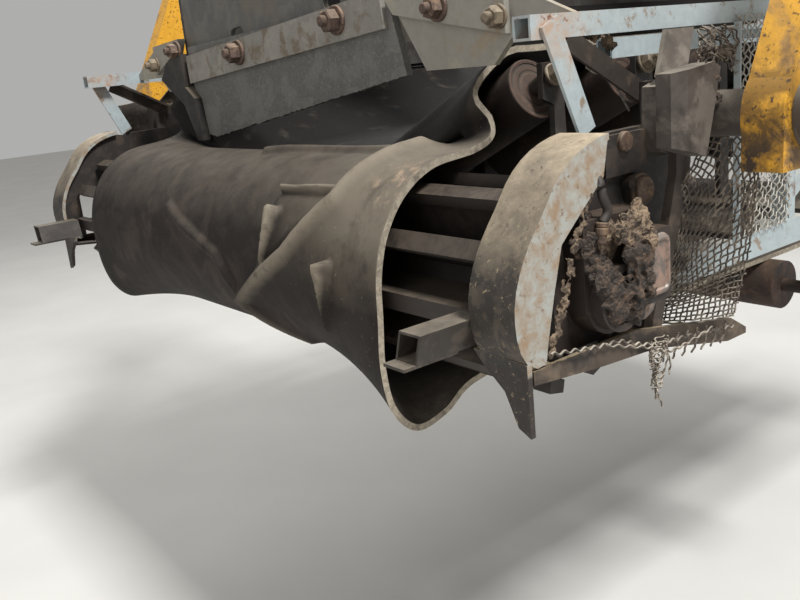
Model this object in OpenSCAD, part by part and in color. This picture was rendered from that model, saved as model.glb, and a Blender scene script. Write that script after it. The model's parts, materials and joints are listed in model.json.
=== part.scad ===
// Tail section of a discharge conveyor, hung by its trunnions in a slewing yoke.
// X runs along the conveyor away from the tail drum, Y across it and Z up.
// The pieces are placed from the drum's axis, and the near side is the one at negative Y.

/* [Belt] */
// Width of the belt
belt_w = 850; // [800:5:900]
// Thickness of the belt
belt_t = 12; // [10:0.5:13]
// Running gap between the belt and the drum's contact bars
belt_gap = 5.5; // [5:0.5:7]
// How far the slack belt's edge hangs away from the drum underneath
belt_sag = 63; // [40:1:70]

/* [Tail drum] */
// Radius over the contact bars
drum_r = 108; // [104:1:110]
// Number of wings
wing_n = 10; // [8:1:12]
// Angle that the drum has stopped at
wing_turn = 5.5; // [0:0.5:36]
// Thickness of a wing plate
wing_t = 8; // [6:1:10]
// Width of a contact bar
bar_w = 20; // [16:1:26]
// Thickness of a contact bar
bar_t = 14; // [10:1:16]
// Gap between the wings' ends and the side plates
wing_end_gap = 9; // [6:1:30]
// Radius of the hub tube
hub_r = 42; // [38:1:46]
// Radius of the dirt shedding cones at mid width
cone_r = 76; // [66:1:84]
// Bare hub between a cone's small end and the wings' end
hub_bare = 170; // [120:10:220]
// Diameter of the drum shaft
shaft_d = 50; // [40:1:56]
// Radial clearance of the shaft in its bearings
shaft_fit = 0.05; // [0.02:0.01:0.1]

/* [Troughing idlers] */
// Diameter of a roller
roller_d = 76; // [70:1:80]
// Width of the flat middle of the trough
trough_flat = 290; // [270:5:310]
// Slope of the wing rollers
trough_a = 25; // [22:0.5:27]
// Height of the carrying strand's middle over the drum axis
carry_z = 112; // [110:0.5:114]
// Distance of the first idler from the drum
idler_x = 140; // [136:1:150]
// Spacing of the impact idlers under the hopper
idler_pitch = 170; // [155:5:190]
// Distance of the last idler from the drum
last_idler_x = 930; // [840:10:1000]
// Thickness of an idler bracket
bracket_t = 8; // [6:1:10]
// Diameter of a roller spindle
spindle_d = 20; // [16:1:24]
// Gap between a roller's end and its bracket
roller_gap = 3; // [2:0.5:5]
// Width of an idler's base
base_w = 60; // [50:2:70]
// Thickness of an idler's base
base_t = 6; // [5:0.5:8]

/* [Frame] */
// Distance from the belt's edge to the side plates
edge_room = 155; // [148:1:170]
// Size of the top chord and the posts
tube = 22; // [20:1:26]
// Size of the bottom chord
low_tube = 32; // [30:1:36]
// Wall of every tube
tube_wall = 2.5; // [2:0.5:3]
// Height of the top chord over the drum axis
top_z = 250; // [246:1:256]
// Depth of the bottom chord under the drum axis
bottom_z = 22; // [18:1:26]
// Length of the section from the drum axis to the fold joint
section_l = 1250; // [1150:10:1400]
// Start of the top chord ahead of the drum axis
chord_start = 43; // [30:1:60]
// Size of the skirt rails
rail = 22; // [20:1:26]
// Gap between the belt's edge and the skirt rails
rail_room = 53; // [48:1:58]
// Drop of the skirt rails under the top chord
rail_drop = 26; // [22:1:30]
// Thickness of the side plates
plate_t = 10; // [8:1:12]
// Bore of the fold lugs
fold_bore = 32; // [25:1:40]
// Distance of the return roller from the drum
return_x = 640; // [560:10:700]

/* [Tail guards] */
// Thickness of the guard shell
guard_t = 6; // [5:0.5:7]
// Width of the guard shell
guard_w = 58; // [54:1:64]
// Overhang of the guard shell inside the side plate
guard_in = 10; // [8:1:14]
// Height of the mesh's windows and their width
mesh_pitch = 22; // [18:1:30]

/* [Yoke and trunnions] */
// Distance of the trunnion axis behind the drum axis
pivot_x = 138; // [130:1:150]
// Height of the trunnion axis over the drum axis
pivot_z = 155; // [150:1:162]
// Diameter of the trunnion pins
pin_d = 44; // [40:1:50]
// Radial clearance of a trunnion pin in its bush
pin_fit = 0.08; // [0.02:0.01:0.1]
// Wall of the bronze bushes
bush_wall = 5; // [4:0.5:7]
// Gap between the side plates and the yoke arms
arm_room = 112; // [105:1:130]
// Thickness of the yoke arms
arm_t = 40; // [30:1:50]
// Radius of the eye at an arm's foot
eye_r = 48; // [46:1:54]
// Backward lean of the arms
arm_lean = 27; // [22:1:28]
// Height of the slewing boss's top over the drum axis
yoke_top = 700; // [690:5:760]
// Height of the yoke beam
beam_h = 110; // [90:5:120]
// Width of the yoke beam
beam_w = 120; // [100:5:140]
// Wall of the yoke beam
beam_wall = 8; // [6:1:12]
// Outer diameter of the slewing boss
boss_d = 170; // [150:5:190]
// Bore of the slewing boss
slew_bore = 90; // [70:5:110]
// Height of the slewing boss above and below the beam
boss_h = 30; // [20:5:35]

/* [Hopper] */
// Distance of the hopper's back wall from the drum axis
hopper_x = 68; // [64:1:74]
// Thickness of the hopper plates
hopper_t = 8; // [5:1:10]
// Height of the hopper's rim at its back wall over the drum axis
hopper_top = 430; // [400:5:440]
// Fall of the rim towards the open end
rim_fall = 130; // [80:5:150]
// Distance of the hopper's side walls in from the belt's edge
hopper_in = 83; // [75:1:95]
// Length of the hopper
hopper_l = 640; // [560:10:700]
// Thickness of the rubber skirts
skirt_t = 10; // [8:1:12]
// Thickness of the skirt's clamp bar
clamp_t = 8; // [6:1:10]
// Height of the clamp bar
clamp_h = 46; // [40:1:50]

/* [Hidden] */
$fn = 64;
over = 1;
seat_gap = 0.3;

// Belt and idlers
flat_y = belt_w / 2;
wrap_r = drum_r + belt_gap + belt_t / 2;
trough_half = trough_flat / 2;
wing_flat = flat_y - trough_half;
edge_y = trough_half + wing_flat * cos(trough_a);
edge_z = carry_z + wing_flat * sin(trough_a);
roller_r = roller_d / 2;
roller_drop = belt_t / 2 + roller_r + seat_gap;
centre_l = trough_flat - 20;
wing_start = 20;
wing_l = wing_flat - 30;
inner_seat = trough_half + 6;
wing_end = wing_start + wing_l;
outer_seat = trough_half + wing_end * cos(trough_a) + (roller_drop + roller_r) * sin(trough_a) + roller_gap;
idler_at = [idler_x, idler_x + idler_pitch, idler_x + 2 * idler_pitch, last_idler_x];
return_z = -wrap_r - roller_drop;

// Frame
plate_y = flat_y + edge_room;
plate_out = plate_y + plate_t;
rail_y = flat_y + rail_room + rail / 2;
rail_z = top_z - rail_drop;
wing_half = plate_y - wing_end_gap;
base_z = -bottom_z + low_tube / 2;
posts = [idler_at[1] + 0.6 * idler_pitch, last_idler_x - 150, section_l - 60];
rail_start = idler_x + base_w / 2;
low_start = drum_r + 12;
window_h = 45;
bearing_x = 64;

// The guard's outline round its middle: angle and radius, with the dent it has
guard_mid = [5, 12];
guard_foot = -bottom_z - low_tube / 2;
guard_line = [
    [92, 141], [98, 140], [104, 139], [110, 138], [116, 136.5], [122, 134.5], [128, 132], [134, 129],
    [140, 127.5], [146, 128], [152, 129.5], [158, 131.5], [164, 133.5], [170, 135.5], [176, 137],
    [182, 137.5], [188, 137.5], [194, 136.5], [200, 133], [205, 124]
];
function guard_edge(inset) = [for (g = guard_line) guard_mid + (g[1] - inset) * [cos(g[0]), sin(g[0])]];
function backward(list) = [for (i = [len(list) - 1:-1:0]) list[i]];
wedge_x = guard_mid[0] - 126;
angle_line = [[-113, -51], [-26, -60], [63, -66], [193, -94]];

// Yoke
arm_y = plate_out + arm_room;
bush_d = pin_d + 2 * bush_wall + 2 * pin_fit;
arm_top = yoke_top - boss_h;
yoke_x = pivot_x + (arm_top - beam_h / 2 - pivot_z) * tan(arm_lean);

// Hopper
hopper_half = flat_y - hopper_in;
clamp_tilt = 4.4;
clamp_z = top_z + 24;
skirt_near = hopper_half - 66;
skirt_far = hopper_half - 20;
skirt_mid = (skirt_far - skirt_near) / 2;
slot_span = 0.8 * hopper_half;
skirt_x = hopper_x - skirt_t;

// Middle surface of the belt at mid width, from the carrying end round the drum to the return end
carry_at = [section_l, last_idler_x + 70, return_x + 60, idler_at[2], idler_at[1]];
return_at = [return_x - 40, section_l];
carry_mid = [
    for (x = carry_at) [x, carry_z],
    [idler_x + 20, carry_z], [idler_x - 10, carry_z - 1], [108, 106], [88, 101], [68, 102]
];
wrap_mid = [for (a = [60, 76, 92, 110, 130, 150, 170, 190, 210, 230, 250, 270]) wrap_r * [cos(a), sin(a)]];
return_mid = [for (x = concat([60, 200], return_at)) [x, -wrap_r]];
mid_path = concat(carry_mid, wrap_mid, return_mid);

// Edge of the belt opposite each point of the middle: X, distance from mid width, Z
carry_edge = [
    for (x = concat(carry_at, [idler_x + 18, idler_x - 22])) [x, edge_y, edge_z]
];
lip_edge = [
    [92, edge_y + 1, edge_z - 10], [62, edge_y + 3, edge_z - 29], [52, edge_y + 6, edge_z - 46],
    [68, edge_y + 10, edge_z - 68], [64, edge_y + 15, edge_z - 90], [30, edge_y + 20, edge_z - 102]
];
// Angle round the drum, and share of the sag, of each point of the belled edge
bell = [
    [107, 0.12], [129, 0.11], [150, 0.07], [171, 0.05], [193, 0.14],
    [212, 0.5], [227, 0.88], [240, 1], [252, 0.64]
];
wrap_edge = [for (b = bell) let (r = wrap_r + b[1] * belt_sag) [r * cos(b[0]), flat_y, r * sin(b[0])]];
return_edge = concat([[4, flat_y, -wrap_r - 8]], [for (x = concat([160], return_at)) [x, flat_y, -wrap_r]]);
edge_path = concat(carry_edge, lip_edge, wrap_edge, return_edge);

// How sharply the belt turns up towards its edge: 1 lies on the wing rollers, more hugs the drum
edge_turn = [
    1, 1, 1, 1, 1, 1, 1, 1, 1.6, 2.6, 3, 3, 2.8, 2.4, 2.2, 2.2, 2.2, 2.2, 2.2, 2.2, 2.2, 2.2, 2.2, 2, 2, 2
];
steps = 3;
strips = 14;

function mix(a, b, w) = a * (1 - w) + b * w;
function spline(p, i, u) =
    let (
        n = len(p),
        a = p[max(i - 1, 0)],
        b = p[i],
        c = p[min(i + 1, n - 1)],
        d = p[min(i + 2, n - 1)]
    )
    0.5 * (2 * b + (c - a) * u + (2 * a - 5 * b + 4 * c - d) * u * u + (3 * b - a - 3 * c + d) * u * u * u);
function along(p, s) = let (i = min(floor(s), len(p) - 2)) spline(p, i, s - i);

// Share of the edge's shape that the belt has at a distance y from mid width
function edge_share(s, y) =
    let (i = min(floor(s), len(edge_turn) - 2))
    pow(max(0, (abs(y) - trough_half) / wing_flat), mix(edge_turn[i], edge_turn[i + 1], s - i));
function belt_point(s, y) =
    let (
        m = along(mid_path, s),
        e = along(edge_path, s),
        w = edge_share(s, y),
        out = abs(y) + w * (e[1] - flat_y)
    )
    [mix(m[0], e[0], w), sign(y) * out, mix(m[1], e[2], w)];
function belt_normal(s, y) =
    let (
        a = belt_point(max(s - 0.02, 0), y),
        b = belt_point(min(s + 0.02, len(mid_path) - 1), y),
        d = [b[0] - a[0], b[2] - a[2]]
    )
    [d[1], 0, -d[0]] / norm(d);
function belt_face(s, y, side) = belt_point(s, y) + side * belt_t / 2 * belt_normal(s, y);

// Height of the belt's upper face on the wing rollers at a distance y from mid width
function trough_top(y) = carry_z + (y - trough_half) * tan(trough_a) + belt_t / 2 / cos(trough_a);

module from_drum() {
    translate([-yoke_x, 0, -yoke_top]) children();
}

module far_side() {
    mirror([0, 1, 0]) children();
}

// A profile of X and Z drawn out along Y from y0 over a width
module across(y0, width) {
    translate([0, y0 + width, 0]) rotate([90, 0, 0]) linear_extrude(width) children();
}

// A profile of Y and Z drawn out along X from x0 over a length
module lengthwise(x0, length) {
    translate([x0, 0, 0]) rotate([90, 0, 90]) linear_extrude(length) children();
}

module square_tube(size, length) {
    translate([0, -size / 2, -size / 2]) difference() {
        cube([length, size, size]);
        translate([-over, tube_wall, tube_wall])
            cube([length + 2 * over, size - 2 * tube_wall, size - 2 * tube_wall]);
    }
}

module rod_y(x, z, y0, length, d) {
    translate([x, y0, z]) rotate([-90, 0, 0]) cylinder(d = d, h = length);
}

module rod_x(x0, y, z, length, d) {
    translate([x0, y, z]) rotate([0, 90, 0]) cylinder(d = d, h = length);
}

// A flat bar between two points, as a profile
module bar(a, b, width) {
    d = b - a;
    translate(a) rotate(atan2(d[1], d[0])) translate([0, -width / 2]) square([norm(d), width]);
}

// Box beam with the slewing boss through its middle
module yoke_beam() {
    beam_z = arm_top - beam_h;
    room_l = arm_y - boss_d / 2 - beam_wall - 10;
    color("goldenrod") from_drum() difference() {
        union() {
            difference() {
                translate([yoke_x - beam_w / 2, -arm_y, beam_z]) cube([beam_w, 2 * arm_y, beam_h]);
                for (side = [0, 1]) mirror([0, side, 0])
                    translate([yoke_x - beam_w / 2 + beam_wall, boss_d / 2 + 10, beam_z + beam_wall])
                        cube([beam_w - 2 * beam_wall, room_l, beam_h - 2 * beam_wall]);
            }
            translate([yoke_x, 0, beam_z - boss_h]) cylinder(d = boss_d, h = beam_h + 2 * boss_h);
        }
        translate([yoke_x, 0, beam_z - boss_h - over])
            cylinder(d = slew_bore, h = beam_h + 2 * boss_h + 2 * over);
    }
}

module yoke_arm() {
    head = [yoke_x, arm_top - beam_h / 2];
    flange = beam_w / 2 + 14;
    half = eye_r - 2;
    color("goldenrod") from_drum() difference() {
        across(-arm_y - arm_t, arm_t) union() {
            translate([pivot_x, pivot_z]) circle(r = eye_r);
            translate([pivot_x - half, pivot_z - eye_r]) square([half + 20, eye_r]);
            bar([pivot_x, pivot_z], head, 2 * half);
            translate([yoke_x - flange, arm_top - beam_h - 10]) square([2 * flange, beam_h + 10]);
        }
        rod_y(pivot_x, pivot_z, -arm_y - arm_t - over, arm_t + 2 * over, bush_d);
    }
}

module trunnion_bush() {
    flange_t = 4;
    color("peru") from_drum() difference() {
        union() {
            rod_y(pivot_x, pivot_z, -arm_y - arm_t, arm_t, bush_d);
            rod_y(pivot_x, pivot_z, -arm_y, flange_t, bush_d + 2 * bush_wall);
        }
        rod_y(pivot_x, pivot_z, -arm_y - arm_t - over, arm_t + flange_t + 2 * over, pin_d + 2 * pin_fit);
    }
}

// Chords, posts, skirt rail and fold lug of one side
module side_frame() {
    lug = [section_l + 30, top_z + 10];
    lug_t = 2 * tube;
    lug_d = fold_bore + 40;
    color("lightsteelblue") from_drum() union() {
        translate([-chord_start, -plate_y + tube / 2, top_z]) square_tube(tube, section_l + chord_start);
        translate([low_start, -plate_y + low_tube / 2, -bottom_z])
            square_tube(low_tube, section_l - low_start);
        translate([rail_start, -rail_y, rail_z]) square_tube(rail, section_l - rail_start);
        for (x = posts) {
            translate([x - tube / 2, -plate_y + 1, base_z - tube_wall / 2])
                cube([tube, tube - 2, top_z - tube / 2 - base_z + tube_wall]);
            translate([x - tube / 3, -plate_y + tube - tube_wall, rail_z - tube / 4])
                cube([2 * tube / 3, plate_y - rail_y - tube - rail / 2 + 2 * tube_wall, tube / 2]);
        }
        difference() {
            across(-plate_y, lug_t) union() {
                translate(lug) circle(d = lug_d);
                translate([section_l - 40, top_z - tube / 2]) square([70, tube / 2 + 10 + lug_d / 2]);
            }
            rod_y(lug[0], lug[1], -plate_y - over, lug_t + 2 * over, fold_bore);
        }
        translate([section_l, -plate_y - tube / 2, -bottom_z - low_tube]) cube([12, 3 * tube, 2 * low_tube]);
    }
}

// Diagonals between the posts
module lattice() {
    low = base_z + base_t + seat_gap;
    high = top_z - tube / 2 - seat_gap;
    thick = tube / 3;
    color("lightsteelblue") from_drum() across(-plate_y + (tube - thick) / 2, thick)
        for (i = [0:1]) intersection() {
            bar([posts[i], low + 0.7 * tube], [posts[i + 1], high - 0.3 * tube], 0.9 * tube);
            translate([posts[i] + tube / 2 + seat_gap, low])
                square([posts[i + 1] - posts[i] - tube - 2 * seat_gap, high - low]);
        }
}

// Plate that holds the bearing between its two arms and carries the trunnion block and the guard
module side_plate() {
    foot = [for (a = angle_line) [a[0], a[1] + seat_gap]];
    boss = [80, window_h + 42];
    color("slategray") from_drum() difference() {
        union() {
            across(-plate_out, plate_t) difference() {
                union() {
                    polygon(concat(guard_edge(guard_t + seat_gap), [[40, guard_foot + 8], [40, 140]]));
                    polygon([
                        [20, -62.7], foot[2], [100, -73.7], [125, -40], [150, 18], [182, 100],
                        [182, 150], [152, 190], [110, 190], [110, 148], [34, 147], [20, 60]
                    ]);
                }
                translate([-92, -window_h]) square([190, 2 * window_h]);
            }
            rod_y(boss[0], boss[1], -plate_out - 12, 12, 32);
            across(-plate_out - 21, 21) translate([112, -20]) square([14, 40]);
            across(-plate_out - 6, 6) translate([34, window_h + 60]) square([64, 40]);
        }
        rod_x(112 - over, -plate_out - 12, 0, 14 + 2 * over, 14 + 2 * seat_gap);
    }
}

// Take-up bearing: a cast block with grooves that ride on the side plate's arms
module bearing() {
    half = 55;
    lip = 5;
    lip_t = 12;
    body_end = plate_out + 36;
    cap_end = plate_out + 56;
    inner = plate_y - wing_end_gap / 2;
    color("saddlebrown") from_drum() difference() {
        union() {
            across(-plate_out - lip_t, lip_t - seat_gap)
                translate([-half, -window_h - lip]) square([2 * half, 2 * (window_h + lip)]);
            across(-plate_out - over, plate_t + 2 * over)
                translate([-half, -window_h + seat_gap]) square([2 * half, 2 * (window_h - seat_gap)]);
            across(-plate_y + seat_gap, plate_y - inner - seat_gap)
                translate([-half, -window_h - lip]) square([2 * half, 2 * (window_h + lip)]);
            across(-body_end, body_end - plate_out - lip_t / 2) translate([-38, -8]) square([86, 86]);
            rod_y(0, 0, -body_end, body_end - plate_out - lip_t / 2, 72);
            across(-cap_end, cap_end - plate_out - lip_t / 2)
                translate([22, -12]) square([bearing_x - 22, 70]);
            rod_y(0, 0, -plate_out - 50, 50 - lip_t / 2, shaft_d + 14);
        }
        rod_y(0, 0, -plate_out - 50 - over, plate_out + 50, shaft_d + 2 * shaft_fit);
    }
}

// Screw that draws the bearing back, with its nut
module takeup_screw() {
    y = -plate_out - 12;
    color("dimgray") from_drum() union() {
        rod_x(bearing_x + seat_gap, y, 0, 151 - bearing_x, 14);
        rod_x(126 + seat_gap, y, 0, 12, 26, $fn = 6);
    }
}

// Cast block in front of the pin, the pin itself and the strap up to the chord
module trunnion() {
    face = -plate_out - 78;
    cap_t = 23;
    web = 22;
    pin_end = arm_y + arm_t + 12;
    strap = [47, 5, 44];
    strap_foot = [108, -plate_out - 15, top_z - 53];
    lean = [0.95, 0.44];
    color("gray") from_drum() union() {
        intersection() {
            across(face, cap_t) polygon([[44, 134], [91, 120], [114, 200], [103, 205], [44, 199]]);
            translate([0, 0, 100]) linear_extrude(120) polygon([
                [46, face + cap_t + over], [46, face + 7], [62, face],
                [118, face], [118, face + cap_t + over]
            ]);
        }
        across(face + cap_t - over, -plate_out - web - face - cap_t + 2 * over)
            polygon([[93, 130], [120, 123], [120, 192], [100, 188]]);
        across(-plate_out - web, web)
            polygon([[98, 122.5], [129, 114], [150, 130], [152, 198], [100, 185]]);
        rod_y(pivot_x, pivot_z, -pin_end, pin_end - plate_out, pin_d);
        rod_y(pivot_x, pivot_z, -pin_end, 12 - seat_gap, pin_d + 24);
        multmatrix([
            [1, 0, lean[0], strap_foot[0] - lean[0] * strap_foot[2]],
            [0, 1, lean[1], strap_foot[1] - lean[1] * strap_foot[2]],
            [0, 0, 1, 0], [0, 0, 0, 1]
        ]) translate([0, 0, strap_foot[2] - 3]) cube(strap);
    }
}

module cross_tube(x) {
    inner = plate_y - low_tube;
    color("lightsteelblue") from_drum() translate([x, -inner, -bottom_z]) rotate([0, 0, 90])
        square_tube(low_tube, 2 * inner);
}

// C-shaped shell round the drum's end with a crescent face, and the torn wedge under it
module tail_guard() {
    y0 = -plate_y - guard_w + guard_in;
    y1 = -plate_y + 20;
    outer = guard_edge(0);
    crescent = [[-96, -39], [-92, -19], [-81, 24], [-69, 64], [-38, 91], [-9, 115], [-3, 143]];
    color("rosybrown") from_drum() union() {
        across(y0, guard_w) polygon(concat(outer, backward(guard_edge(guard_t))));
        across(y0, guard_t) polygon(concat(outer, crescent));
        lengthwise(wedge_x, 6) polygon([
            [y1, guard_foot + 7], [y0, guard_foot + 4], [y0, guard_foot - 66],
            [y0 + 15, guard_foot - 59], [y0 + 30, guard_foot - 27], [y0 + 55, guard_foot - 7]
        ]);
    }
}

module guard_brace() {
    color("lightsteelblue") from_drum() across(-plate_y - 4, 4 - seat_gap)
        bar([-22, top_z + 4], [25.3, 150], 23);
}

// Angle iron inside the side plate, from the top chord's underside down to the trunnion's height
module corner_brace() {
    y0 = -plate_y + seat_gap;
    under = top_z - tube / 2 - seat_gap;
    leg = 20;
    low = [114, 180];
    high = [6, 238];
    color("dimgray") from_drum() difference() {
        union() {
            across(y0, 4) bar(high, low, leg);
            across(y0, leg) translate([0, leg / 2 - 1]) bar(high, low, 4);
        }
        across(y0 - over, leg + 2 * over) translate([-60, under]) square([260, 80]);
    }
}

// Angle iron under the side plate, bent down towards its back end
module lower_angle() {
    y0 = -plate_out - 38;
    under = [for (a = angle_line) [a[0], a[1] - 4]];
    color("dimgray") from_drum() union() {
        across(y0, 5) polygon(concat(under, [[229, -98], [229, -91], [199, -73], [32, -42], [-113, -42]]));
        across(y0, 38 - seat_gap) polygon(concat(angle_line, backward(under)));
    }
}

// Flat bar from the trunnion block's underside down to the lower angle
module outer_post() {
    color("gray") from_drum() across(-plate_out - 32.7, 10) polygon([
        [109, 119.1], [129, 113.6], [133, 100], [96, 0], [76, -68.4], [60, -65.5], [80, 0], [109, 100]
    ]);
}

// Open end of a broken and crushed nose bar, with its torn lower lip
module nose_stub() {
    size = 30;
    y0 = -plate_y + 20 + seat_gap;
    foot = -bottom_z - 7;
    crush = 0.32;
    color("gray") from_drum() union() {
        multmatrix([
            [1, 0, 0, 0], [0, 1, -crush, crush * foot], [0, 0, 1, 0], [0, 0, 0, 1]
        ]) translate([-190, y0 + size / 2, foot + size / 2]) square_tube(size, 74);
        translate([-204, y0, foot - 2]) cube([64, size, 3]);
    }
}

// Sheet of woven wire that leans out from the top chord to the lower angle
module mesh_guard() {
    cols = 14;
    rows = 13;
    wire = 3;
    x0 = pivot_x + 58;
    top = top_z + 6;
    lean = 0.17;
    color("silver") from_drum() multmatrix([
        [1, 0, 0, 0], [0, 1, lean, -plate_y - seat_gap - lean * top], [0, 0, 1, 0], [0, 0, 0, 1]
    ]) across(-wire, wire) difference() {
        translate([x0, top - rows * mesh_pitch - 8]) square([cols * mesh_pitch + 8, rows * mesh_pitch + 8]);
        for (i = [0:cols - 1], j = [1:rows])
            translate([x0 + 6 + i * mesh_pitch, top - 6 - j * mesh_pitch]) square(mesh_pitch - 4);
    }
}

// Wing drum: radial plates with contact bars on a hub, two cones and the shaft
module tail_drum() {
    shaft_half = plate_out + 46;
    color("gray") from_drum() union() {
        across(-wing_half, 2 * wing_half) union() {
            circle(r = hub_r);
            for (i = [0:wing_n - 1]) rotate(wing_turn + i * 360 / wing_n) {
                translate([0, -wing_t / 2]) square([drum_r - bar_t / 2, wing_t]);
                translate([drum_r - bar_t, -bar_w / 2]) square([bar_t - bar_w * bar_w / 8 / drum_r, bar_w]);
            }
        }
        for (side = [-1, 1]) rotate([90 * side, 0, 0])
            cylinder(r1 = cone_r, r2 = hub_r - 1, h = wing_half - hub_bare);
        rod_y(0, 0, -shaft_half, 2 * shaft_half, shaft_d);
    }
}

module belt() {
    n = (len(mid_path) - 1) * steps;
    row = strips + 1;
    ys = [for (j = [0:strips]) -flat_y + j * belt_w / strips];
    points = [for (side = [1, -1], i = [0:n], j = [0:strips]) belt_face(i / steps, ys[j], side)];
    function at(i, j, k) = k * (n + 1) * row + i * row + j;
    quads = concat(
        [for (i = [0:n - 1], j = [0:strips - 1])
            [at(i, j, 0), at(i, j + 1, 0), at(i + 1, j + 1, 0), at(i + 1, j, 0)]],
        [for (i = [0:n - 1], j = [0:strips - 1])
            [at(i, j, 1), at(i + 1, j, 1), at(i + 1, j + 1, 1), at(i, j + 1, 1)]],
        [for (i = [0:n - 1]) [at(i, 0, 0), at(i + 1, 0, 0), at(i + 1, 0, 1), at(i, 0, 1)]],
        [for (i = [0:n - 1])
            [at(i, strips, 0), at(i, strips, 1), at(i + 1, strips, 1), at(i + 1, strips, 0)]],
        [for (j = [0:strips - 1]) [at(0, j, 0), at(0, j, 1), at(0, j + 1, 1), at(0, j + 1, 0)]],
        [for (j = [0:strips - 1]) [at(n, j, 0), at(n, j + 1, 0), at(n, j + 1, 1), at(n, j, 1)]]
    );
    halves = concat([for (q = quads) [q[0], q[1], q[2]]], [for (q = quads) [q[0], q[2], q[3]]]);
    color("dimgray") from_drum() polyhedron(points = points, faces = halves, convexity = 8);
}

// Places its children on the near wing roller's axis, with Z up the slope from the trough's fold
module on_wing() {
    translate([0, -trough_half, carry_z]) rotate([90 - trough_a, 0, 0]) translate([0, -roller_drop, 0])
        children();
}

// Roller along Z from z0, with its spindle standing out below and above
module roller(z0, length, below, above) {
    translate([0, 0, z0]) cylinder(d = roller_d, h = length);
    translate([0, 0, z0 - below]) cylinder(d = spindle_d, h = length + below + above);
}

module idler_rollers(k) {
    reach = roller_gap + bracket_t + 1;
    color("sienna") from_drum() translate([idler_at[k], 0, 0]) {
        translate([0, 0, carry_z - roller_drop]) rotate([90, 0, 0])
            roller(-centre_l / 2, centre_l, reach, reach);
        for (side = [0, 1]) mirror([0, side, 0]) on_wing() roller(wing_start, wing_l, wing_start + 4, 34);
    }
}

// Base flat on the bottom chords, with the plates that hold the spindles
module idler_frame(k) {
    mid_top = carry_z - roller_drop + spindle_d;
    outer_top = carry_z - roller_drop * cos(trough_a) + (wing_end + 22) * sin(trough_a) + spindle_d;
    hole = spindle_d + 2 * seat_gap;
    color("darkslategray") from_drum() translate([idler_at[k], 0, 0]) difference() {
        union() {
            translate([-base_w / 2, -plate_y, base_z]) cube([base_w, 2 * plate_y, base_t]);
            for (side = [0, 1]) mirror([0, side, 0]) {
                across(-centre_l / 2 - roller_gap - bracket_t, bracket_t) bracket_profile(mid_top);
                across(-inner_seat - bracket_t, bracket_t) bracket_profile(mid_top);
                across(-outer_seat - bracket_t, bracket_t) polygon([
                    [4, base_z], [28, base_z], [20, outer_top], [-14, outer_top],
                    [-14, outer_top - 2 * spindle_d], [4, outer_top - 2.4 * spindle_d]
                ]);
            }
        }
        translate([0, 0, carry_z - roller_drop]) rotate([90, 0, 0])
            cylinder(d = hole, h = centre_l + 2 * (roller_gap + bracket_t) + over, center = true);
        for (side = [0, 1]) mirror([0, side, 0]) on_wing() translate([0, 0, -8])
            cylinder(d = hole, h = wing_flat + 80);
    }
}

module bracket_profile(top) {
    polygon([[-base_w / 2 + 4, base_z], [base_w / 2 - 4, base_z], [20, top], [-20, top]]);
}

// Flat roller under the return strand
module return_roller() {
    length = belt_w + 50;
    color("sienna") from_drum() translate([return_x, 0, return_z]) rotate([90, 0, 0])
        roller(-length / 2, length, edge_room - 30, edge_room - 30);
}

// Plate under the bottom chord that carries the return roller's spindle
module return_bracket() {
    top = -bottom_z - low_tube / 2;
    color("darkslategray") from_drum() across(-plate_y + 6, bracket_t) difference() {
        polygon([
            [return_x - 34, top], [return_x + 34, top],
            [return_x + 20, return_z - 22], [return_x - 20, return_z - 22]
        ]);
        translate([return_x, return_z]) circle(d = spindle_d + 2 * seat_gap);
    }
}

// Back wall with the two slots above the skirt's bolts
module hopper_back() {
    foot = top_z + 4;
    color("darkslategray") from_drum() lengthwise(hopper_x, hopper_t) difference() {
        translate([-hopper_half, foot]) square([2 * hopper_half, hopper_top - foot]);
        for (y = [-slot_span / 2, slot_span / 2])
            translate([20 + y, clamp_z + 35 - y * tan(clamp_tilt)]) rotate(-clamp_tilt) {
                translate([-11, 0]) circle(d = 20);
                translate([11, 0]) circle(d = 20);
                translate([-11, -10]) square([22, 20]);
            }
    }
}

module hopper_side() {
    foot = trough_top(hopper_half + hopper_t) + 10;
    color("darkslategray") from_drum() across(-hopper_half - hopper_t, hopper_t) polygon([
        [hopper_x, foot], [hopper_x + hopper_l, foot],
        [hopper_x + hopper_l, hopper_top - rim_fall], [hopper_x, hopper_top]
    ]);
}

// Two bolted plates that tie the hopper's corner to the top chord
module hopper_bracket(inner) {
    foot = edge_z - 12;
    corner = flat_y + 30;
    chord_in = plate_y - tube - seat_gap;
    color("slategray") from_drum() {
        lengthwise(hopper_x - hopper_t, hopper_t) polygon([
            [-inner, 306], [-inner - 14, 287], [-inner - 60, foot], [-corner + 28, foot],
            [-corner, top_z - tube / 4], [-chord_in, top_z - tube / 4], [-chord_in, top_z + tube / 4],
            [-corner, 300]
        ]);
        lengthwise(hopper_x - 2 * hopper_t, hopper_t)
            polygon([[-inner, 306], [-inner - 14, 287], [-corner, top_z], [-corner, 300]]);
    }
}

// Rubber strip that seals the back wall to the belt, worn askew
module skirt_back() {
    color("black") from_drum() lengthwise(skirt_x, skirt_t) polygon([
        [-skirt_near, carry_z + 103], [skirt_far - 60, carry_z + 25], [skirt_far - 16, carry_z + 38],
        [skirt_far, clamp_z + 16], [26 - skirt_near, clamp_z + 36]
    ]);
}

module skirt_clamp() {
    length = skirt_near + skirt_far - 34;
    color("saddlebrown") from_drum() lengthwise(skirt_x - clamp_t, clamp_t)
        translate([skirt_mid + 12, clamp_z]) rotate(-clamp_tilt) translate([-length / 2, -clamp_h / 2])
            square([length, clamp_h]);
}

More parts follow.
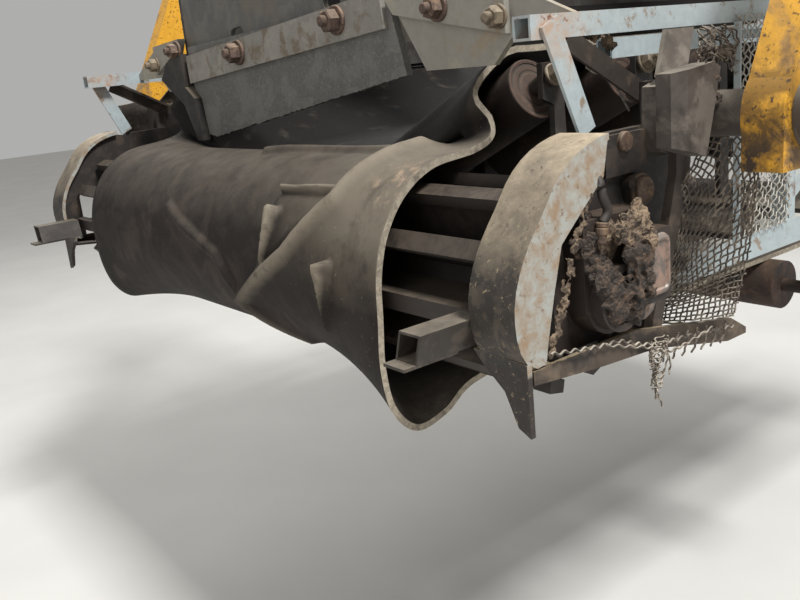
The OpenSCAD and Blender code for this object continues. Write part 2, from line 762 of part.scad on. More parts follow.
// Dark strip that hangs at the skirt's far corner
module skirt_corner() {
    tip = skirt_far - 38;
    thick = 14;
    color("dimgray") from_drum() lengthwise(skirt_x - thick, thick - seat_gap) polygon([
        [tip, carry_z + 20], [tip + 20, carry_z + 20], [tip + 56, carry_z + 82],
        [skirt_far + 98, carry_z + 128],
        [skirt_far + 68, carry_z + 156], [skirt_far + 4, carry_z + 168], [skirt_far + 4, carry_z + 112],
        [tip + 12, carry_z + 92]
    ]);
}

module side_skirt() {
    y = hopper_half + hopper_t + skirt_t;
    foot = trough_top(y) + seat_gap;
    color("black") from_drum() translate([hopper_x + 60, -y, foot]) cube([hopper_l - 60, skirt_t, 60]);
}

yoke_beam();
yoke_arm();  // yoke_arm_near
far_side() yoke_arm();  // yoke_arm_far
trunnion_bush();  // trunnion_bush_near
far_side() trunnion_bush();  // trunnion_bush_far
side_frame();  // side_frame_near
far_side() side_frame();  // side_frame_far
lattice();  // lattice_near
far_side() lattice();  // lattice_far
side_plate();  // side_plate_near
far_side() side_plate();  // side_plate_far
trunnion();  // trunnion_near
far_side() trunnion();  // trunnion_far
cross_tube(idler_x + idler_pitch / 2);  // cross_tube_front
cross_tube(posts[2]);  // cross_tube_rear
tail_guard();  // tail_guard_near
far_side() tail_guard();  // tail_guard_far
guard_brace();  // guard_brace_near
far_side() guard_brace();  // guard_brace_far
corner_brace();  // corner_brace_near
far_side() corner_brace();  // corner_brace_far
lower_angle();  // lower_angle_near
far_side() lower_angle();  // lower_angle_far
outer_post();  // outer_post_near
far_side() outer_post();  // outer_post_far
nose_stub();  // nose_stub_near
far_side() nose_stub();  // nose_stub_far
mesh_guard();  // mesh_guard_near
far_side() mesh_guard();  // mesh_guard_far
bearing();  // bearing_near
far_side() bearing();  // bearing_far
takeup_screw();  // takeup_screw_near
far_side() takeup_screw();  // takeup_screw_far
tail_drum();
belt();
idler_frame(0);  // idler_frame_1
idler_frame(1);  // idler_frame_2
idler_frame(2);  // idler_frame_3
idler_frame(3);  // idler_frame_4
idler_rollers(0);  // idler_rollers_1
idler_rollers(1);  // idler_rollers_2
idler_rollers(2);  // idler_rollers_3
idler_rollers(3);  // idler_rollers_4
return_roller();
return_bracket();  // return_bracket_near
far_side() return_bracket();  // return_bracket_far
hopper_back();
hopper_side();  // hopper_side_near
far_side() hopper_side();  // hopper_side_far
hopper_bracket(skirt_near - 24);  // hopper_bracket_near
far_side() hopper_bracket(hopper_half + 3);  // hopper_bracket_far
skirt_back();
skirt_clamp();
skirt_corner();  // skirt_corner_far
side_skirt();  // side_skirt_near
far_side() side_skirt();  // side_skirt_far
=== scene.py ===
# %% [markdown]
# # The tail end of a discharge conveyor
# A big machine that planes roads throws its millings up a rubber belt. This is the low end
# of that belt: a drum with wings, a slack belt round it, steel side frames, a hopper over
# the belt and a yellow yoke that carries it all. The steel comes packed from the CAD frame.
# Here it gets its paint, rust and dust, and the soft, torn and muddy pieces that solids
# can't show.

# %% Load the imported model
import json
import math
import random

import bmesh
import bpy
from mathutils import Matrix, Vector, noise


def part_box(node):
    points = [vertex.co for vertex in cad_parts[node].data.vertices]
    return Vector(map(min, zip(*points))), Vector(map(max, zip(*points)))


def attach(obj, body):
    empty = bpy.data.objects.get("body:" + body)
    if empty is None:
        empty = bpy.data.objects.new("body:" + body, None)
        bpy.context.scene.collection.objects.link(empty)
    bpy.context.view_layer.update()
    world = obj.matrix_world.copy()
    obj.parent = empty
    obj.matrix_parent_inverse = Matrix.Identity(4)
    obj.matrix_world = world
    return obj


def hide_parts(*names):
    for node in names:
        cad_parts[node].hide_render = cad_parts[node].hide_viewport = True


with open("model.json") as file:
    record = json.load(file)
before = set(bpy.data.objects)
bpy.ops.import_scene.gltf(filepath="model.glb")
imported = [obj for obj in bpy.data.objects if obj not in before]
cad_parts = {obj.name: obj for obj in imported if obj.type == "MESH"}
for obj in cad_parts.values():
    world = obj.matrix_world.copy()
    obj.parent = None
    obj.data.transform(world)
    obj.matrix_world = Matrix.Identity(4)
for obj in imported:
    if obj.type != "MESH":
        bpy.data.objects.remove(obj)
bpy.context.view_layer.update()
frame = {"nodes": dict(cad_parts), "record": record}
record = frame["record"]
nodes = frame["nodes"]
joints = {j["name"]: j for j in record["behaviour"]["joints"]}
DRUM = Vector(joints["drum_spin"]["pos_m"])
print("CAD nodes:", len(nodes), "drum axis at", [round(v, 4) for v in DRUM])


# %% [markdown]
# ## One ruler
# Every size below is in millimetres from the middle of the drum's axis: X runs along the
# conveyor, Y across it and Z up. The near side, which the camera sees, is at negative Y.
# One function turns such a place into the metres of the frame.

# %% Millimetres from the drum's axis to the frame's metres
def place(x, y, z):
    """A point in millimetres from the drum's axis, as metres in the frame."""
    return DRUM + Vector((x, y, z)) / 1000


print("one metre up from the drum:", [round(v, 3) for v in place(0, 0, 1000)])


# %% [markdown]
# ## The camera
# The camera stands left of the drum and a little above it, as a person would who looks
# down along the belt. Its place and its directions come from the vanishing points of the
# frame's long tubes, and its lens from how fast they draw together. The directions right,
# up and backward go into a matrix as they are, with no detour over angles.

# %% Camera
PICTURE_WIDE_PX, FOCAL_PX, SENSOR_MM = 800, 870, 36
CAMERA_AT = (-635, -1136, 233)
CAMERA_RIGHT = Vector((0.77903, -0.61974, -0.09508))
CAMERA_UP = Vector((0.23688, 0.15051, 0.95981))
camera = bpy.data.objects.new("camera", bpy.data.cameras.new("camera"))
bpy.context.collection.objects.link(camera)
turn = Matrix((CAMERA_RIGHT, CAMERA_UP, CAMERA_RIGHT.cross(CAMERA_UP))).transposed()
camera.matrix_world = Matrix.Translation(place(*CAMERA_AT)) @ turn.to_4x4()
camera.data.sensor_width = SENSOR_MM
camera.data.lens = SENSOR_MM * FOCAL_PX / PICTURE_WIDE_PX
camera.data.clip_start = 0.02
camera.data.clip_end = 60
bpy.context.scene.camera = camera
print("camera at", [round(v, 3) for v in camera.location], "lens", round(camera.data.lens, 2))


# %% [markdown]
# ## Colour and nodes
# A colour is written as a hex number, the way a paint shop's screen shows it, and one
# function turns it into the linear values that Blender wants. One more function adds a
# shader node, sets it up and wires it in the same breath.

# %% Colour and node helpers
def linear(code):
    """An sRGB hex colour as linear red, green, blue and alpha."""
    parts = [int(code[i:i + 2], 16) / 255 for i in (1, 3, 5)]
    return tuple(v / 12.92 if v <= 0.04045 else ((v + 0.055) / 1.055) ** 2.4 for v in parts) + (1,)


def add(tree, kind, inputs=None, stops=None, **settings):
    """Adds a node, applies its settings, and links or sets its inputs."""
    node = tree.nodes.new("ShaderNode" + kind)
    for key, value in settings.items():
        setattr(node, key, value)
    for key, value in (inputs or {}).items():
        if isinstance(value, bpy.types.NodeSocket):
            tree.links.new(value, node.inputs[key])
        else:
            node.inputs[key].default_value = linear(value) if isinstance(value, str) else value
    if stops:
        ramp = node.color_ramp.elements
        while len(ramp) < len(stops):
            ramp.new(0.5)
        for element, (position, shade) in zip(ramp, stops):
            element.position = position
            element.color = linear(shade) if isinstance(shade, str) else (shade, shade, shade, 1)
    return node


def new_material(name):
    """A material with only its output and its shader."""
    material = bpy.data.materials.new(name)
    material.use_nodes = True
    tree = material.node_tree
    tree.nodes.clear()
    shader = add(tree, "BsdfPrincipled")
    output = add(tree, "OutputMaterial", {"Surface": shader.outputs[0]})
    output.is_active_output = True
    return material, tree, shader


print("mid grey in linear light:", round(linear("#808080")[0], 3))


# %% [markdown]
# ## The studio
# A pale floor lies where the ground would be. Its tone wanders a little, because a big
# surface of one flat tone looks like a void.

# %% Floor
FLOOR_DROP, FLOOR_CENTRE = 710, (400, 400)
floor_mesh = bpy.data.meshes.new("floor")
shape = bmesh.new()
bmesh.ops.create_grid(shape, x_segments=2, y_segments=2, size=14)
shape.to_mesh(floor_mesh)
shape.free()
floor = bpy.data.objects.new("floor", floor_mesh)
floor.location = place(*FLOOR_CENTRE, -FLOOR_DROP)
bpy.context.collection.objects.link(floor)
paper, tree, shader = new_material("pale studio floor")
spot = add(tree, "TexCoord")
grain = add(tree, "TexNoise", {"Vector": spot.outputs["Object"], "Scale": 3.0, "Detail": 4.0})
tone = add(tree, "ValToRGB", {"Fac": grain.outputs["Fac"]}, stops=[(0.3, "#c9c7c2"), (0.7, "#d0cec9")])
tree.links.new(tone.outputs["Color"], shader.inputs["Base Color"])
shader.inputs["Roughness"].default_value = 0.9
floor_mesh.materials.append(paper)
print("floor", FLOOR_DROP, "mm below the drum's axis")


# %% [markdown]
# The sun in the open is small and hard, and falls on the guard and the belt's near edge
# from high on the near side. So the key lamp is small, high and far away. A wide weak
# lamp opens the shadows on the left, a wide one behind lifts the frame off the floor,
# and a plain pale world fills what they leave.

# %% Lamps and world
def lamp(name, stands, aim, size, power):
    """A square lamp at one point, turned to another."""
    light = bpy.data.lights.new(name, "AREA")
    light.size = size
    light.energy = power
    holder = bpy.data.objects.new(name, light)
    holder.location = stands
    holder.rotation_euler = (aim - stands).to_track_quat("-Z", "Y").to_euler()
    bpy.context.collection.objects.link(holder)


middle = place(0, -200, 0)
lamp("key", place(100, -3200, 4300), middle, 1.1, 400)
lamp("fill", place(-2600, -1200, 1300), middle, 2.6, 22)
lamp("back", place(1600, 2600, 2600), middle, 2.5, 60)
world = bpy.data.worlds.new("studio")
bpy.context.scene.world = world
world.use_nodes = True
tree = world.node_tree
tree.nodes.clear()
sky = add(tree, "Background", {"Color": "#ededec", "Strength": 0.5})
add(tree, "OutputWorld", {"Surface": sky.outputs[0]})
bpy.context.scene.view_settings.view_transform = "Standard"


# %% [markdown]
# ## What the surfaces are made of
# All of this machine lives in asphalt dust. So nearly every material is the same idea: a
# base, patches where it has worn or rusted through, and dust that settles on faces that
# look up. The patches come from noise whose size is worked out in millimetres, and the
# dust from the surface's own direction. One recipe with many settings keeps them alike,
# as one day's dust does. Its grain is drawn about four times coarser than real dust,
# because real dust is too fine to show.

# %% From real sizes to a noise's settings
# Noise keeps to the middle of its range: nearly all of it lies within this spread
NOISE_SPREAD = 0.42


def per_metre(size_mm):
    """The scale of a noise whose blobs are about this many millimetres across."""
    return 1000 / (2 * size_mm)


def level_of(share):
    """The value that about this share of a noise rises above."""
    return 0.5 + (0.5 - share) * NOISE_SPREAD


print("10 mm patches are a noise of scale", per_metre(10), "and a fifth of it rises above", level_of(0.2))

# %% A dusty finish
DUST_CLOUD_MM = 22
GRAIN_COARSER = 4


def layered(name, base, second, patch_mm, share, dust, dust_share, rough, metal=0.0, gloss=0.5, grain_mm=1.2,
            bump=0.25, third=None, third_mm=60, third_share=0.3, level=-0.25):
    """A base colour, patches of a second and a third, and dust on faces that look up past a level."""
    material, tree, shader = new_material(name)
    spot = add(tree, "TexCoord")
    broad = add(tree, "TexNoise", {"Vector": spot.outputs["Object"], "Scale": per_metre(patch_mm),
                                   "Detail": 9.0, "Roughness": 0.66, "Distortion": 0.35})
    edge = level_of(share)
    patch = add(tree, "ValToRGB", {"Fac": broad.outputs["Fac"]},
                stops=[(edge - 0.03, 0.0), (edge + 0.04, 1.0)])
    mixed = add(tree, "Mix", {"Factor": patch.outputs[0], "A": base, "B": second}, data_type="RGBA")
    colour = mixed.outputs["Result"]
    if third:
        wide = add(tree, "TexNoise", {"Vector": spot.outputs["Object"], "Scale": per_metre(third_mm),
                                      "Detail": 8.0, "Roughness": 0.62, "Distortion": 0.6})
        edge = level_of(third_share)
        where = add(tree, "ValToRGB", {"Fac": wide.outputs["Fac"]},
                    stops=[(edge - 0.05, 0.0), (edge + 0.06, 1.0)])
        over = add(tree, "Mix", {"Factor": where.outputs[0], "A": colour, "B": third}, data_type="RGBA")
        colour = over.outputs["Result"]
    # Dust lies where the face looks up, in clouds
    facing = add(tree, "SeparateXYZ", {0: spot.outputs["Normal"]})
    lying = add(tree, "MapRange", {"Value": facing.outputs["Z"], "From Min": level, "From Max": 1.0})
    cloud = add(tree, "TexNoise", {"Vector": spot.outputs["Object"], "Scale": per_metre(DUST_CLOUD_MM),
                                   "Detail": 8.0, "Roughness": 0.7})
    settled = add(tree, "Math", {0: lying.outputs[0], 1: cloud.outputs["Fac"]}, operation="MULTIPLY")
    film = add(tree, "MapRange", {"Value": settled.outputs[0], "From Min": 0.12, "From Max": 0.62,
                                  "To Max": dust_share})
    dusty = add(tree, "Mix", {"Factor": film.outputs[0], "A": colour, "B": dust}, data_type="RGBA")
    # Grain darkens and lightens the colour, changes the sheen and roughens the surface
    fine = add(tree, "TexNoise", {"Vector": spot.outputs["Object"], "Detail": 6.0, "Roughness": 0.7,
                                  "Scale": per_metre(grain_mm * GRAIN_COARSER)})
    shade = add(tree, "MapRange", {"Value": fine.outputs["Fac"], "To Min": 0.72, "To Max": 1.28})
    toned = add(tree, "Mix", {"Factor": 1.0, "A": dusty.outputs["Result"], "B": shade.outputs[0]},
                data_type="RGBA", blend_type="MULTIPLY")
    tree.links.new(toned.outputs["Result"], shader.inputs["Base Color"])
    sheen = add(tree, "MapRange", {"Value": fine.outputs["Fac"], "To Min": rough[0], "To Max": rough[1]})
    tree.links.new(sheen.outputs[0], shader.inputs["Roughness"])
    height = add(tree, "Math", {0: fine.outputs["Fac"], 1: broad.outputs["Fac"]}, operation="ADD")
    relief = add(tree, "Bump", {"Height": height.outputs[0], "Strength": bump, "Distance": grain_mm / 1000})
    tree.links.new(relief.outputs[0], shader.inputs["Normal"])
    shader.inputs["Metallic"].default_value = metal
    shader.inputs["Specular IOR Level"].default_value = gloss
    return material


print("a dusty finish has its dust in clouds of", DUST_CLOUD_MM, "mm")


# %% [markdown]
# ## More coats
# Mud, wear and oil sit in one place of a piece and not in another. Each is one more colour
# over the finish, held in place by masks: by where the surface is, by where it faces, by
# how near it is to a spot, and by ragged blotches, so that no edge is a clean line.

# %% A coat, and masks by place and by direction
def coat(material, colour, *masks):
    """Lays one more colour over a material where all the masks meet."""
    tree = material.node_tree
    shader = next(n for n in tree.nodes if n.type == "BSDF_PRINCIPLED")
    share = masks[0]
    for mask in masks[1:]:
        share = add(tree, "Math", {0: share, 1: mask}, operation="MULTIPLY").outputs[0]
    under = shader.inputs["Base Color"].links[0].from_socket
    over = add(tree, "Mix", {"Factor": share, "A": under, "B": colour}, data_type="RGBA")
    tree.links.new(over.outputs["Result"], shader.inputs["Base Color"])


def fade(tree, kind, axis, start, full, both_sides=False):
    """A mask that grows from zero to one between two values of the place or the direction faced."""
    value = add(tree, "SeparateXYZ", {0: add(tree, "TexCoord").outputs[kind]}).outputs[axis]
    if both_sides:
        value = add(tree, "Math", {0: value}, operation="ABSOLUTE").outputs[0]
    return add(tree, "MapRange", {"Value": value, "From Min": start, "From Max": full}).outputs[0]


def by_place(tree, axis, start, full, both_sides=False):
    """The same along an axis in millimetres from the drum."""
    zero = DRUM["XYZ".index(axis)]
    return fade(tree, "Object", axis, zero + start / 1000, zero + full / 1000, both_sides)


print("a coat can follow a place or a direction")

# %% Masks by nearness and by chance
def near_spot(tree, x, y, z, inner, outer):
    """One inside a ball round a place, fading to zero outside it, all in millimetres."""
    spot = add(tree, "TexCoord")
    away = add(tree, "VectorMath", {0: spot.outputs["Object"], 1: tuple(place(x, y, z))}, operation="DISTANCE")
    return add(tree, "MapRange", {"Value": away.outputs["Value"], "From Min": outer / 1000,
                                  "From Max": inner / 1000}).outputs[0]


def blotches(tree, size_mm, share, soft=0.05):
    """A mask of ragged blotches that cover about this share of the surface."""
    spot = add(tree, "TexCoord")
    blot = add(tree, "TexNoise", {"Vector": spot.outputs["Object"], "Scale": per_metre(size_mm),
                                  "Detail": 8.0, "Roughness": 0.68, "Distortion": 0.3})
    edge = level_of(share)
    return add(tree, "ValToRGB", {"Fac": blot.outputs["Fac"]},
               stops=[(edge - soft, 0.0), (edge + soft, 1.0)]).outputs[0]


finishes = {}
print("or the nearness of a spot, or chance")


# %% [markdown]
# ## Rubber
# The belt is vulcanised rubber, moulded dull and nearly black, and it throws back little
# light. What the eye gets is mostly what is laid over it: a grey film of dust and painted
# sunlight on the near edge, specks, painted shade in the trough behind the skirt, and a clay
# smear where the belt comes round the drum.

# %% Conveyor rubber
rubber = layered("dusty conveyor rubber", "#1f1a17", "#292320", 30, 0.45, dust="#6a6257", dust_share=0.6,
                 rough=(0.62, 0.85), gloss=0.25, grain_mm=0.9, bump=0.35, third="#38302a", third_mm=55,
                 third_share=0.35, level=0.1)
finishes["rubber"] = rubber
tree = rubber.node_tree
near_edge = by_place(tree, "Y", -200, -370)
# Dust and painted sunlight: a paler grey film over the near edge's lip
coat(rubber, "#6b6357", near_edge, by_place(tree, "X", 60, 10), by_place(tree, "Z", -25, 60),
     blotches(tree, 26, 0.85, 0.16))
coat(rubber, "#7d7161", near_edge, blotches(tree, 2.5, 0.13, 0.03))
# The clay smear
coat(rubber, "#94816d", near_spot(tree, -68, -402, 111, 14, 50), blotches(tree, 10, 0.36, 0.05))
# Painted shade in the trough behind the skirt, where the belt runs under it
coat(rubber, "#151210", by_place(tree, "X", 26, 54), by_place(tree, "Y", 412, 386, both_sides=True),
     by_place(tree, "Z", 40, 70), blotches(tree, 30, 0.93, 0.1))
# Dust on the cleats' crests, whose height the belt's mesh stores point by point further on
crest = add(tree, "Attribute", attribute_name="crest").outputs["Fac"]
on_crest = add(tree, "MapRange", {"Value": crest, "From Min": 0.45, "From Max": 1.0}).outputs[0]
coat(rubber, "#7a7163", on_crest, by_place(tree, "Y", -60, -200), blotches(tree, 9, 0.85, 0.14))
print(rubber.name, len(tree.nodes), "nodes")


# %% [markdown]
# ## Enamel on steel
# The side frames wear blue-grey enamel that stones have chipped, so rust shows in small
# sharp patches. The yoke's yellow is rubbed through to brown primer, and carries painted
# shade with some oil towards its foot on the side that faces the drum. The plates are dark
# grey under a film of dust.

# %% Blue-grey, yellow and dark grey enamel
FRAME_Y, CHORD_END_Z = 585, 256
chipped = layered("chipped blue-grey enamel", "#98a2a4", "#7f7264", 12, 0.24, dust="#bdb3a3", dust_share=0.6,
                  rough=(0.4, 0.7), third="#6a4c3a", third_mm=26, third_share=0.12)
tree = chipped.node_tree
# Rust has come through at the tubes' cut front ends
for side in (-1, 1):
    coat(chipped, "#a28b79", near_spot(tree, -10, FRAME_Y * side, CHORD_END_Z, 15, 66),
         blotches(tree, 12, 0.5, 0.1))
    coat(chipped, "#755444", near_spot(tree, -10, FRAME_Y * side, CHORD_END_Z, 15, 70),
         blotches(tree, 4, 0.22, 0.03))
yellow = layered("worn yellow enamel", "#d39a26", "#4e3419", 2.6, 0.28, dust="#b59a70", dust_share=0.3,
                 rough=(0.35, 0.7), third="#8a6b48", third_mm=34, third_share=0.27, grain_mm=1.6)
tree = yellow.node_tree
arm_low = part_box("yoke_arm_near")[0]
# Painted shade, with some oil, darkens the arm from this far in from its edge on the drum's side, and is full
# at the second distance
SHADE_AND_OIL_STARTS, SHADE_AND_OIL_FULL = 50, 15
coat(yellow, "#33261b", fade(tree, "Object", "X", arm_low[0] + SHADE_AND_OIL_STARTS / 1000, arm_low[0] + SHADE_AND_OIL_FULL / 1000),
     by_place(tree, "Z", 300, 120), blotches(tree, 16, 0.66, 0.09))
dark_plate = layered("dusty dark grey enamel", "#555452", "#625f5a", 35, 0.45, dust="#8f877b", dust_share=0.55,
                     rough=(0.45, 0.75), third="#625c52", third_mm=90, third_share=0.35)
finishes.update(frame_blue=chipped, yoke_yellow=yellow, dark_steel=dark_plate)
print("enamels:", [m.name for m in (chipped, yellow, dark_plate)])


# %% [markdown]
# ## Bare metal
# Rolled and forged steel grows a brown skin that is almost matt, and a casting rusts
# rough. Bronze and the zinc on the wire are the only metals here that still shine.
# Most small pieces are like the brown steel with a change or two, so its recipe is a
# function that takes the changes.

# %% Brown steel, rust, bronze and zinc
def plain_finish(name, **changes):
    """The recipe of brown skinned steel, with changes where a piece differs from it."""
    recipe = dict(base="#3b322b", second="#564a40", patch_mm=14, share=0.42, dust="#8f826f", dust_share=0.5,
                  rough=(0.45, 0.8), third="#261f1b", third_mm=38, third_share=0.4, level=0.0)
    recipe.update(changes)
    return layered(name, **recipe)


finishes["raw_steel"] = plain_finish("brown skinned steel")
finishes["rust"] = layered("rusty steel", "#37271f", "#49342a", 9, 0.42, dust="#77644f", dust_share=0.4,
                           rough=(0.6, 0.9), third="#241b17", third_mm=24, third_share=0.45, bump=0.5,
                           level=0.0)
finishes["bronze"] = layered("bearing bronze", "#8c6a3e", "#6d4f2d", 8, 0.4, dust="#8f816f", dust_share=0.3,
                             rough=(0.35, 0.6), metal=0.8)
finishes["wire"] = layered("galvanised wire", "#96938b", "#6f675d", 10, 0.35, dust="#b9b2a3", dust_share=0.5,
                           rough=(0.4, 0.7), metal=0.2, bump=0.1)
print("finishes so far:", list(finishes))


# %% [markdown]
# ## The guard
# The C-shaped guard is pressed plate. Its rim is worn to dark scale and specked with tan
# dust, while its outer face keeps the pale paint, with tan and brown scale along it. Both
# are one piece, so masks tell the face from the rim by where they look, and leave the torn
# wedge below the guard dark.

# %% Worn guard plate
guard = layered("worn guard plate", "#332e29", "#4d443a", 9, 0.42, dust="#b5a58c", dust_share=1.0,
                rough=(0.45, 0.8), third="#262320", third_mm=42, third_share=0.42, bump=0.5, grain_mm=1.5,
                level=0.16)
finishes["guard"] = guard
tree = guard.node_tree
coat(guard, "#29221e", by_place(tree, "Z", -38, -48), blotches(tree, 20, 0.85, 0.1))
coat(guard, "#8a7b62", blotches(tree, 2.4, 0.2, 0.02))
coat(guard, "#3c342c", blotches(tree, 4.5, 0.16, 0.04))
face = (fade(tree, "Normal", "Y", 0.6, 0.75, both_sides=True), by_place(tree, "Z", -47, -42))
for colour, size_mm, share, soft in [("#94958f", 16, 0.9, 0.05), ("#857059", 9, 0.46, 0.12),
                                     ("#6b543e", 4, 0.2, 0.05), ("#3f3229", 2, 0.12, 0.02)]:
    coat(guard, colour, *face, blotches(tree, size_mm, share, soft))
print(guard.name, len(tree.nodes), "nodes")


# %% [markdown]
# ## The drum
# The drum is dark and greasy between its wings, where nothing rubs it, and worn to brown
# on its contact bars. The distance from its axis tells the bars from the rest, and where
# they look up they carry dust.

# %% Worn drum
BAR_INNER, BAR_OUTER = 96, 103.5
worn_drum = plain_finish("worn drum steel", base="#201a17", second="#2c241f", dust_share=0.15)
tree = worn_drum.node_tree
spot = add(tree, "TexCoord").outputs["Object"]
offset = add(tree, "VectorMath", {0: spot, 1: tuple(DRUM)}, operation="SUBTRACT")
level = add(tree, "VectorMath", {0: offset.outputs[0], 1: (1, 0, 1)}, operation="MULTIPLY")
radius = add(tree, "VectorMath", {0: level.outputs[0]}, operation="LENGTH").outputs["Value"]
bars = add(tree, "MapRange", {"Value": radius, "From Min": BAR_INNER / 1000,
                              "From Max": BAR_OUTER / 1000}).outputs[0]
coat(worn_drum, "#2e2722", bars, blotches(tree, 14, 0.9))
coat(worn_drum, "#51473c", bars, fade(tree, "Normal", "Z", 0.1, 0.8), blotches(tree, 10, 0.6, 0.12))
print(worn_drum.name, "bars start", BAR_INNER, "mm from the axis")


# %% [markdown]
# ## One finish for each kind of piece
# No two pieces of an old machine are equally dirty. Each kind that looks different has its
# own change of the brown steel, found by how its name starts. All others take the finish
# of their slot in the record.

# %% Dress the CAD pieces
# Dust makes the flat lying pieces paler, painted sunlight makes the bracket plate paler too, and oil keeps
# those by the bearings dark
special = {
    "tail_drum": worn_drum,
    "lower_angle": plain_finish("dusty angle iron", base="#453a30", second="#5c4f41", dust="#97886e",
                                dust_share=0.8),
    "skirt_clamp": plain_finish("dusty clamp bar", base="#7d7a73", second="#87827a", patch_mm=24,
                                dust="#9a9387", third="#6b5f50", third_mm=12, third_share=0.3, level=-0.3),
    "skirt_corner": plain_finish("torn black rubber", base="#1b1816", second="#2a2521", third="#36302a"),
    "side_plate": plain_finish("oily plate", base="#231e1b", second="#332a24", dust="#75685a", dust_share=0.35,
                               third="#43372d", third_share=0.25),
    "nose_stub": plain_finish("crushed tube steel", base="#37322c", second="#4a423a", dust="#847a6b",
                              dust_share=0.6),
    # The bracket plate's pale base is painted sunlight as well as dust
    "hopper_bracket": plain_finish("dusty bracket plate with painted light", base="#8a867d", second="#96907f", patch_mm=40,
                                   dust="#b0a592", third="#8f7f69", third_mm=26, third_share=0.3, level=-0.3),
    "hopper_side": plain_finish("inner hopper plate", base="#2c2a28", second="#3a3733", dust_share=0.2),
    "trunnion": plain_finish("dusty cast block", base="#433c36", second="#5c544c", patch_mm=22, third="#2f2823",
                             third_mm=30, third_share=0.35, dust="#8f8779", dust_share=0.7),
    "bearing": plain_finish("greasy bearing casting", base="#2a211c", second="#3a2e27", dust="#6b5a4a",
                            dust_share=0.35),
    "corner_brace": plain_finish("oily angle iron", base="#2b2520", second="#40362d", dust_share=0.35),
    "idler_rollers": plain_finish("rusty roller shell", base="#2b211d", second="#3b2c26", dust_share=0.4),
    "idler_frame": plain_finish("idler bracket", base="#2d2a27", second="#3d3833", dust_share=0.4),
}
slots = {part["node"]: part["material_slot"] for part in record["subparts"]}
for node_name, node_object in nodes.items():
    node_object.data.materials.clear()
    own = [finish for start, finish in special.items() if node_name.startswith(start)]
    node_object.data.materials.append(own[0] if own else finishes[slots[node_name]])
print("finishes:", len(finishes), "and", len(special), "for single kinds of piece")


# %% [markdown]
# ## Pieces
# A piece is a mesh with a finish and a body that it moves with. Without a finish of its own
# it takes the finish of its slot in the record. One helper makes these bindings, so that no
# piece is left riding on nothing. Every piece made here moves with the conveyor.

# %% Piece helper
def as_mesh(name, shape):
    """Turns a bmesh into a mesh whose faces all look outwards."""
    mesh = bpy.data.meshes.new(name)
    bmesh.ops.recalc_face_normals(shape, faces=shape.faces[:])
    shape.to_mesh(mesh)
    shape.free()
    return mesh


def piece(name, shape, slot, finish=None, smooth=False, body="conveyor"):
    """Puts a mesh or a bmesh in the scene, binds it to its body, and gives it its finish, or its slot's finish
    if none is given.
    """
    mesh = as_mesh(name, shape) if isinstance(shape, bmesh.types.BMesh) else shape
    thing = bpy.data.objects.new(name, mesh)
    bpy.context.collection.objects.link(thing)
    mesh.materials.clear()
    mesh.materials.append(finish or finishes[slot])
    for face in mesh.polygons:
        face.use_smooth = smooth
    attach(thing, body)
    print(name, len(mesh.polygons), "faces")
    return thing


# %% [markdown]
# Bolts, pipes and wires are all rings of points joined into a skin. A turned part's rings
# stand along one axis, as on a lathe, and a wire's rings follow a path. A smooth curve
# through a few chosen points gives the paths, so a bend needs no long list of points.

# %% Turned and swept forms
def skin(shape, rings):
    """Joins rings of points into a closed skin with a cap at each end."""
    for low, high in zip(rings, rings[1:]):
        for k in range(len(low)):
            j = (k + 1) % len(low)
            shape.faces.new((low[k], low[j], high[j], high[k]))
    shape.faces.new(rings[0][::-1])
    shape.faces.new(rings[-1])


def turned(shape, at, axis, profile, sides=28, start=0.0):
    """Adds a closed turned form from pairs of distance along its axis and radius."""
    axis = Vector(axis).normalized()
    side_a = axis.orthogonal().normalized()
    side_b = axis.cross(side_a)
    rings = []
    for distance, radius in profile:
        ring = []
        for k in range(sides):
            angle = math.tau * k / sides + start
            out = (side_a * math.cos(angle) + side_b * math.sin(angle)) * radius
            ring.append(shape.verts.new(place(*(Vector(at) + axis * distance + out))))
        rings.append(ring)
    skin(shape, rings)


def swept(shape, path, radius, sides=6):
    """Adds a rod of one radius along a path of points."""
    points = [Vector(p) for p in path]
    rings = []
    for k, here in enumerate(points):
        ahead = (points[min(k + 1, len(points) - 1)] - points[max(k - 1, 0)]).normalized()
        # A slanted helper direction that no wire here runs along
        side_a = ahead.cross(Vector((0.13, 0.31, 0.94))).normalized()
        side_b = ahead.cross(side_a)
        ring = []
        for j in range(sides):
            angle = math.tau * j / sides
            out = radius * (side_a * math.cos(angle) + side_b * math.sin(angle))
            ring.append(shape.verts.new(place(*(here + out))))
        rings.append(ring)
    skin(shape, rings)


def along(path, s):
    """A point on the smooth curve through the path, s counting its points."""
    i = min(int(s), len(path) - 2)
    u = s - i
    a, b, c, d = (path[min(max(k, 0), len(path) - 1)] for k in (i - 1, i, i + 1, i + 2))
    return [0.5 * (2 * q + (r - p) * u + (2 * p - 5 * q + 4 * r - t) * u * u
                   + (3 * q - p - 3 * r + t) * u ** 3) for p, q, r, t in zip(a, b, c, d)]


def smooth_path(points, steps=6):
    """More points on the smooth curve through a few."""
    return [along(points, k / steps) for k in range((len(points) - 1) * steps + 1)]


print("half way round a quarter bend:", [round(v, 2) for v in along([(0, 1), (1, 1), (1, 0)], 1.5)])


# %% [markdown]
# ## The belt
# The belt is a heavy rubber sheet, slack because the drum has come forward. It lies in a
# trough on three rollers, drops in an S at its edge ahead of the first one, and wraps the
# drum. The edge bells out below like a trumpet. Two curves carry its shape, one at mid
# width and one at the edge, and the surface is blended between them, so the sheet is one
# smooth piece. A cloth simulation could hang such a sheet too, but it would not find the
# set that years on the drum have given this one.

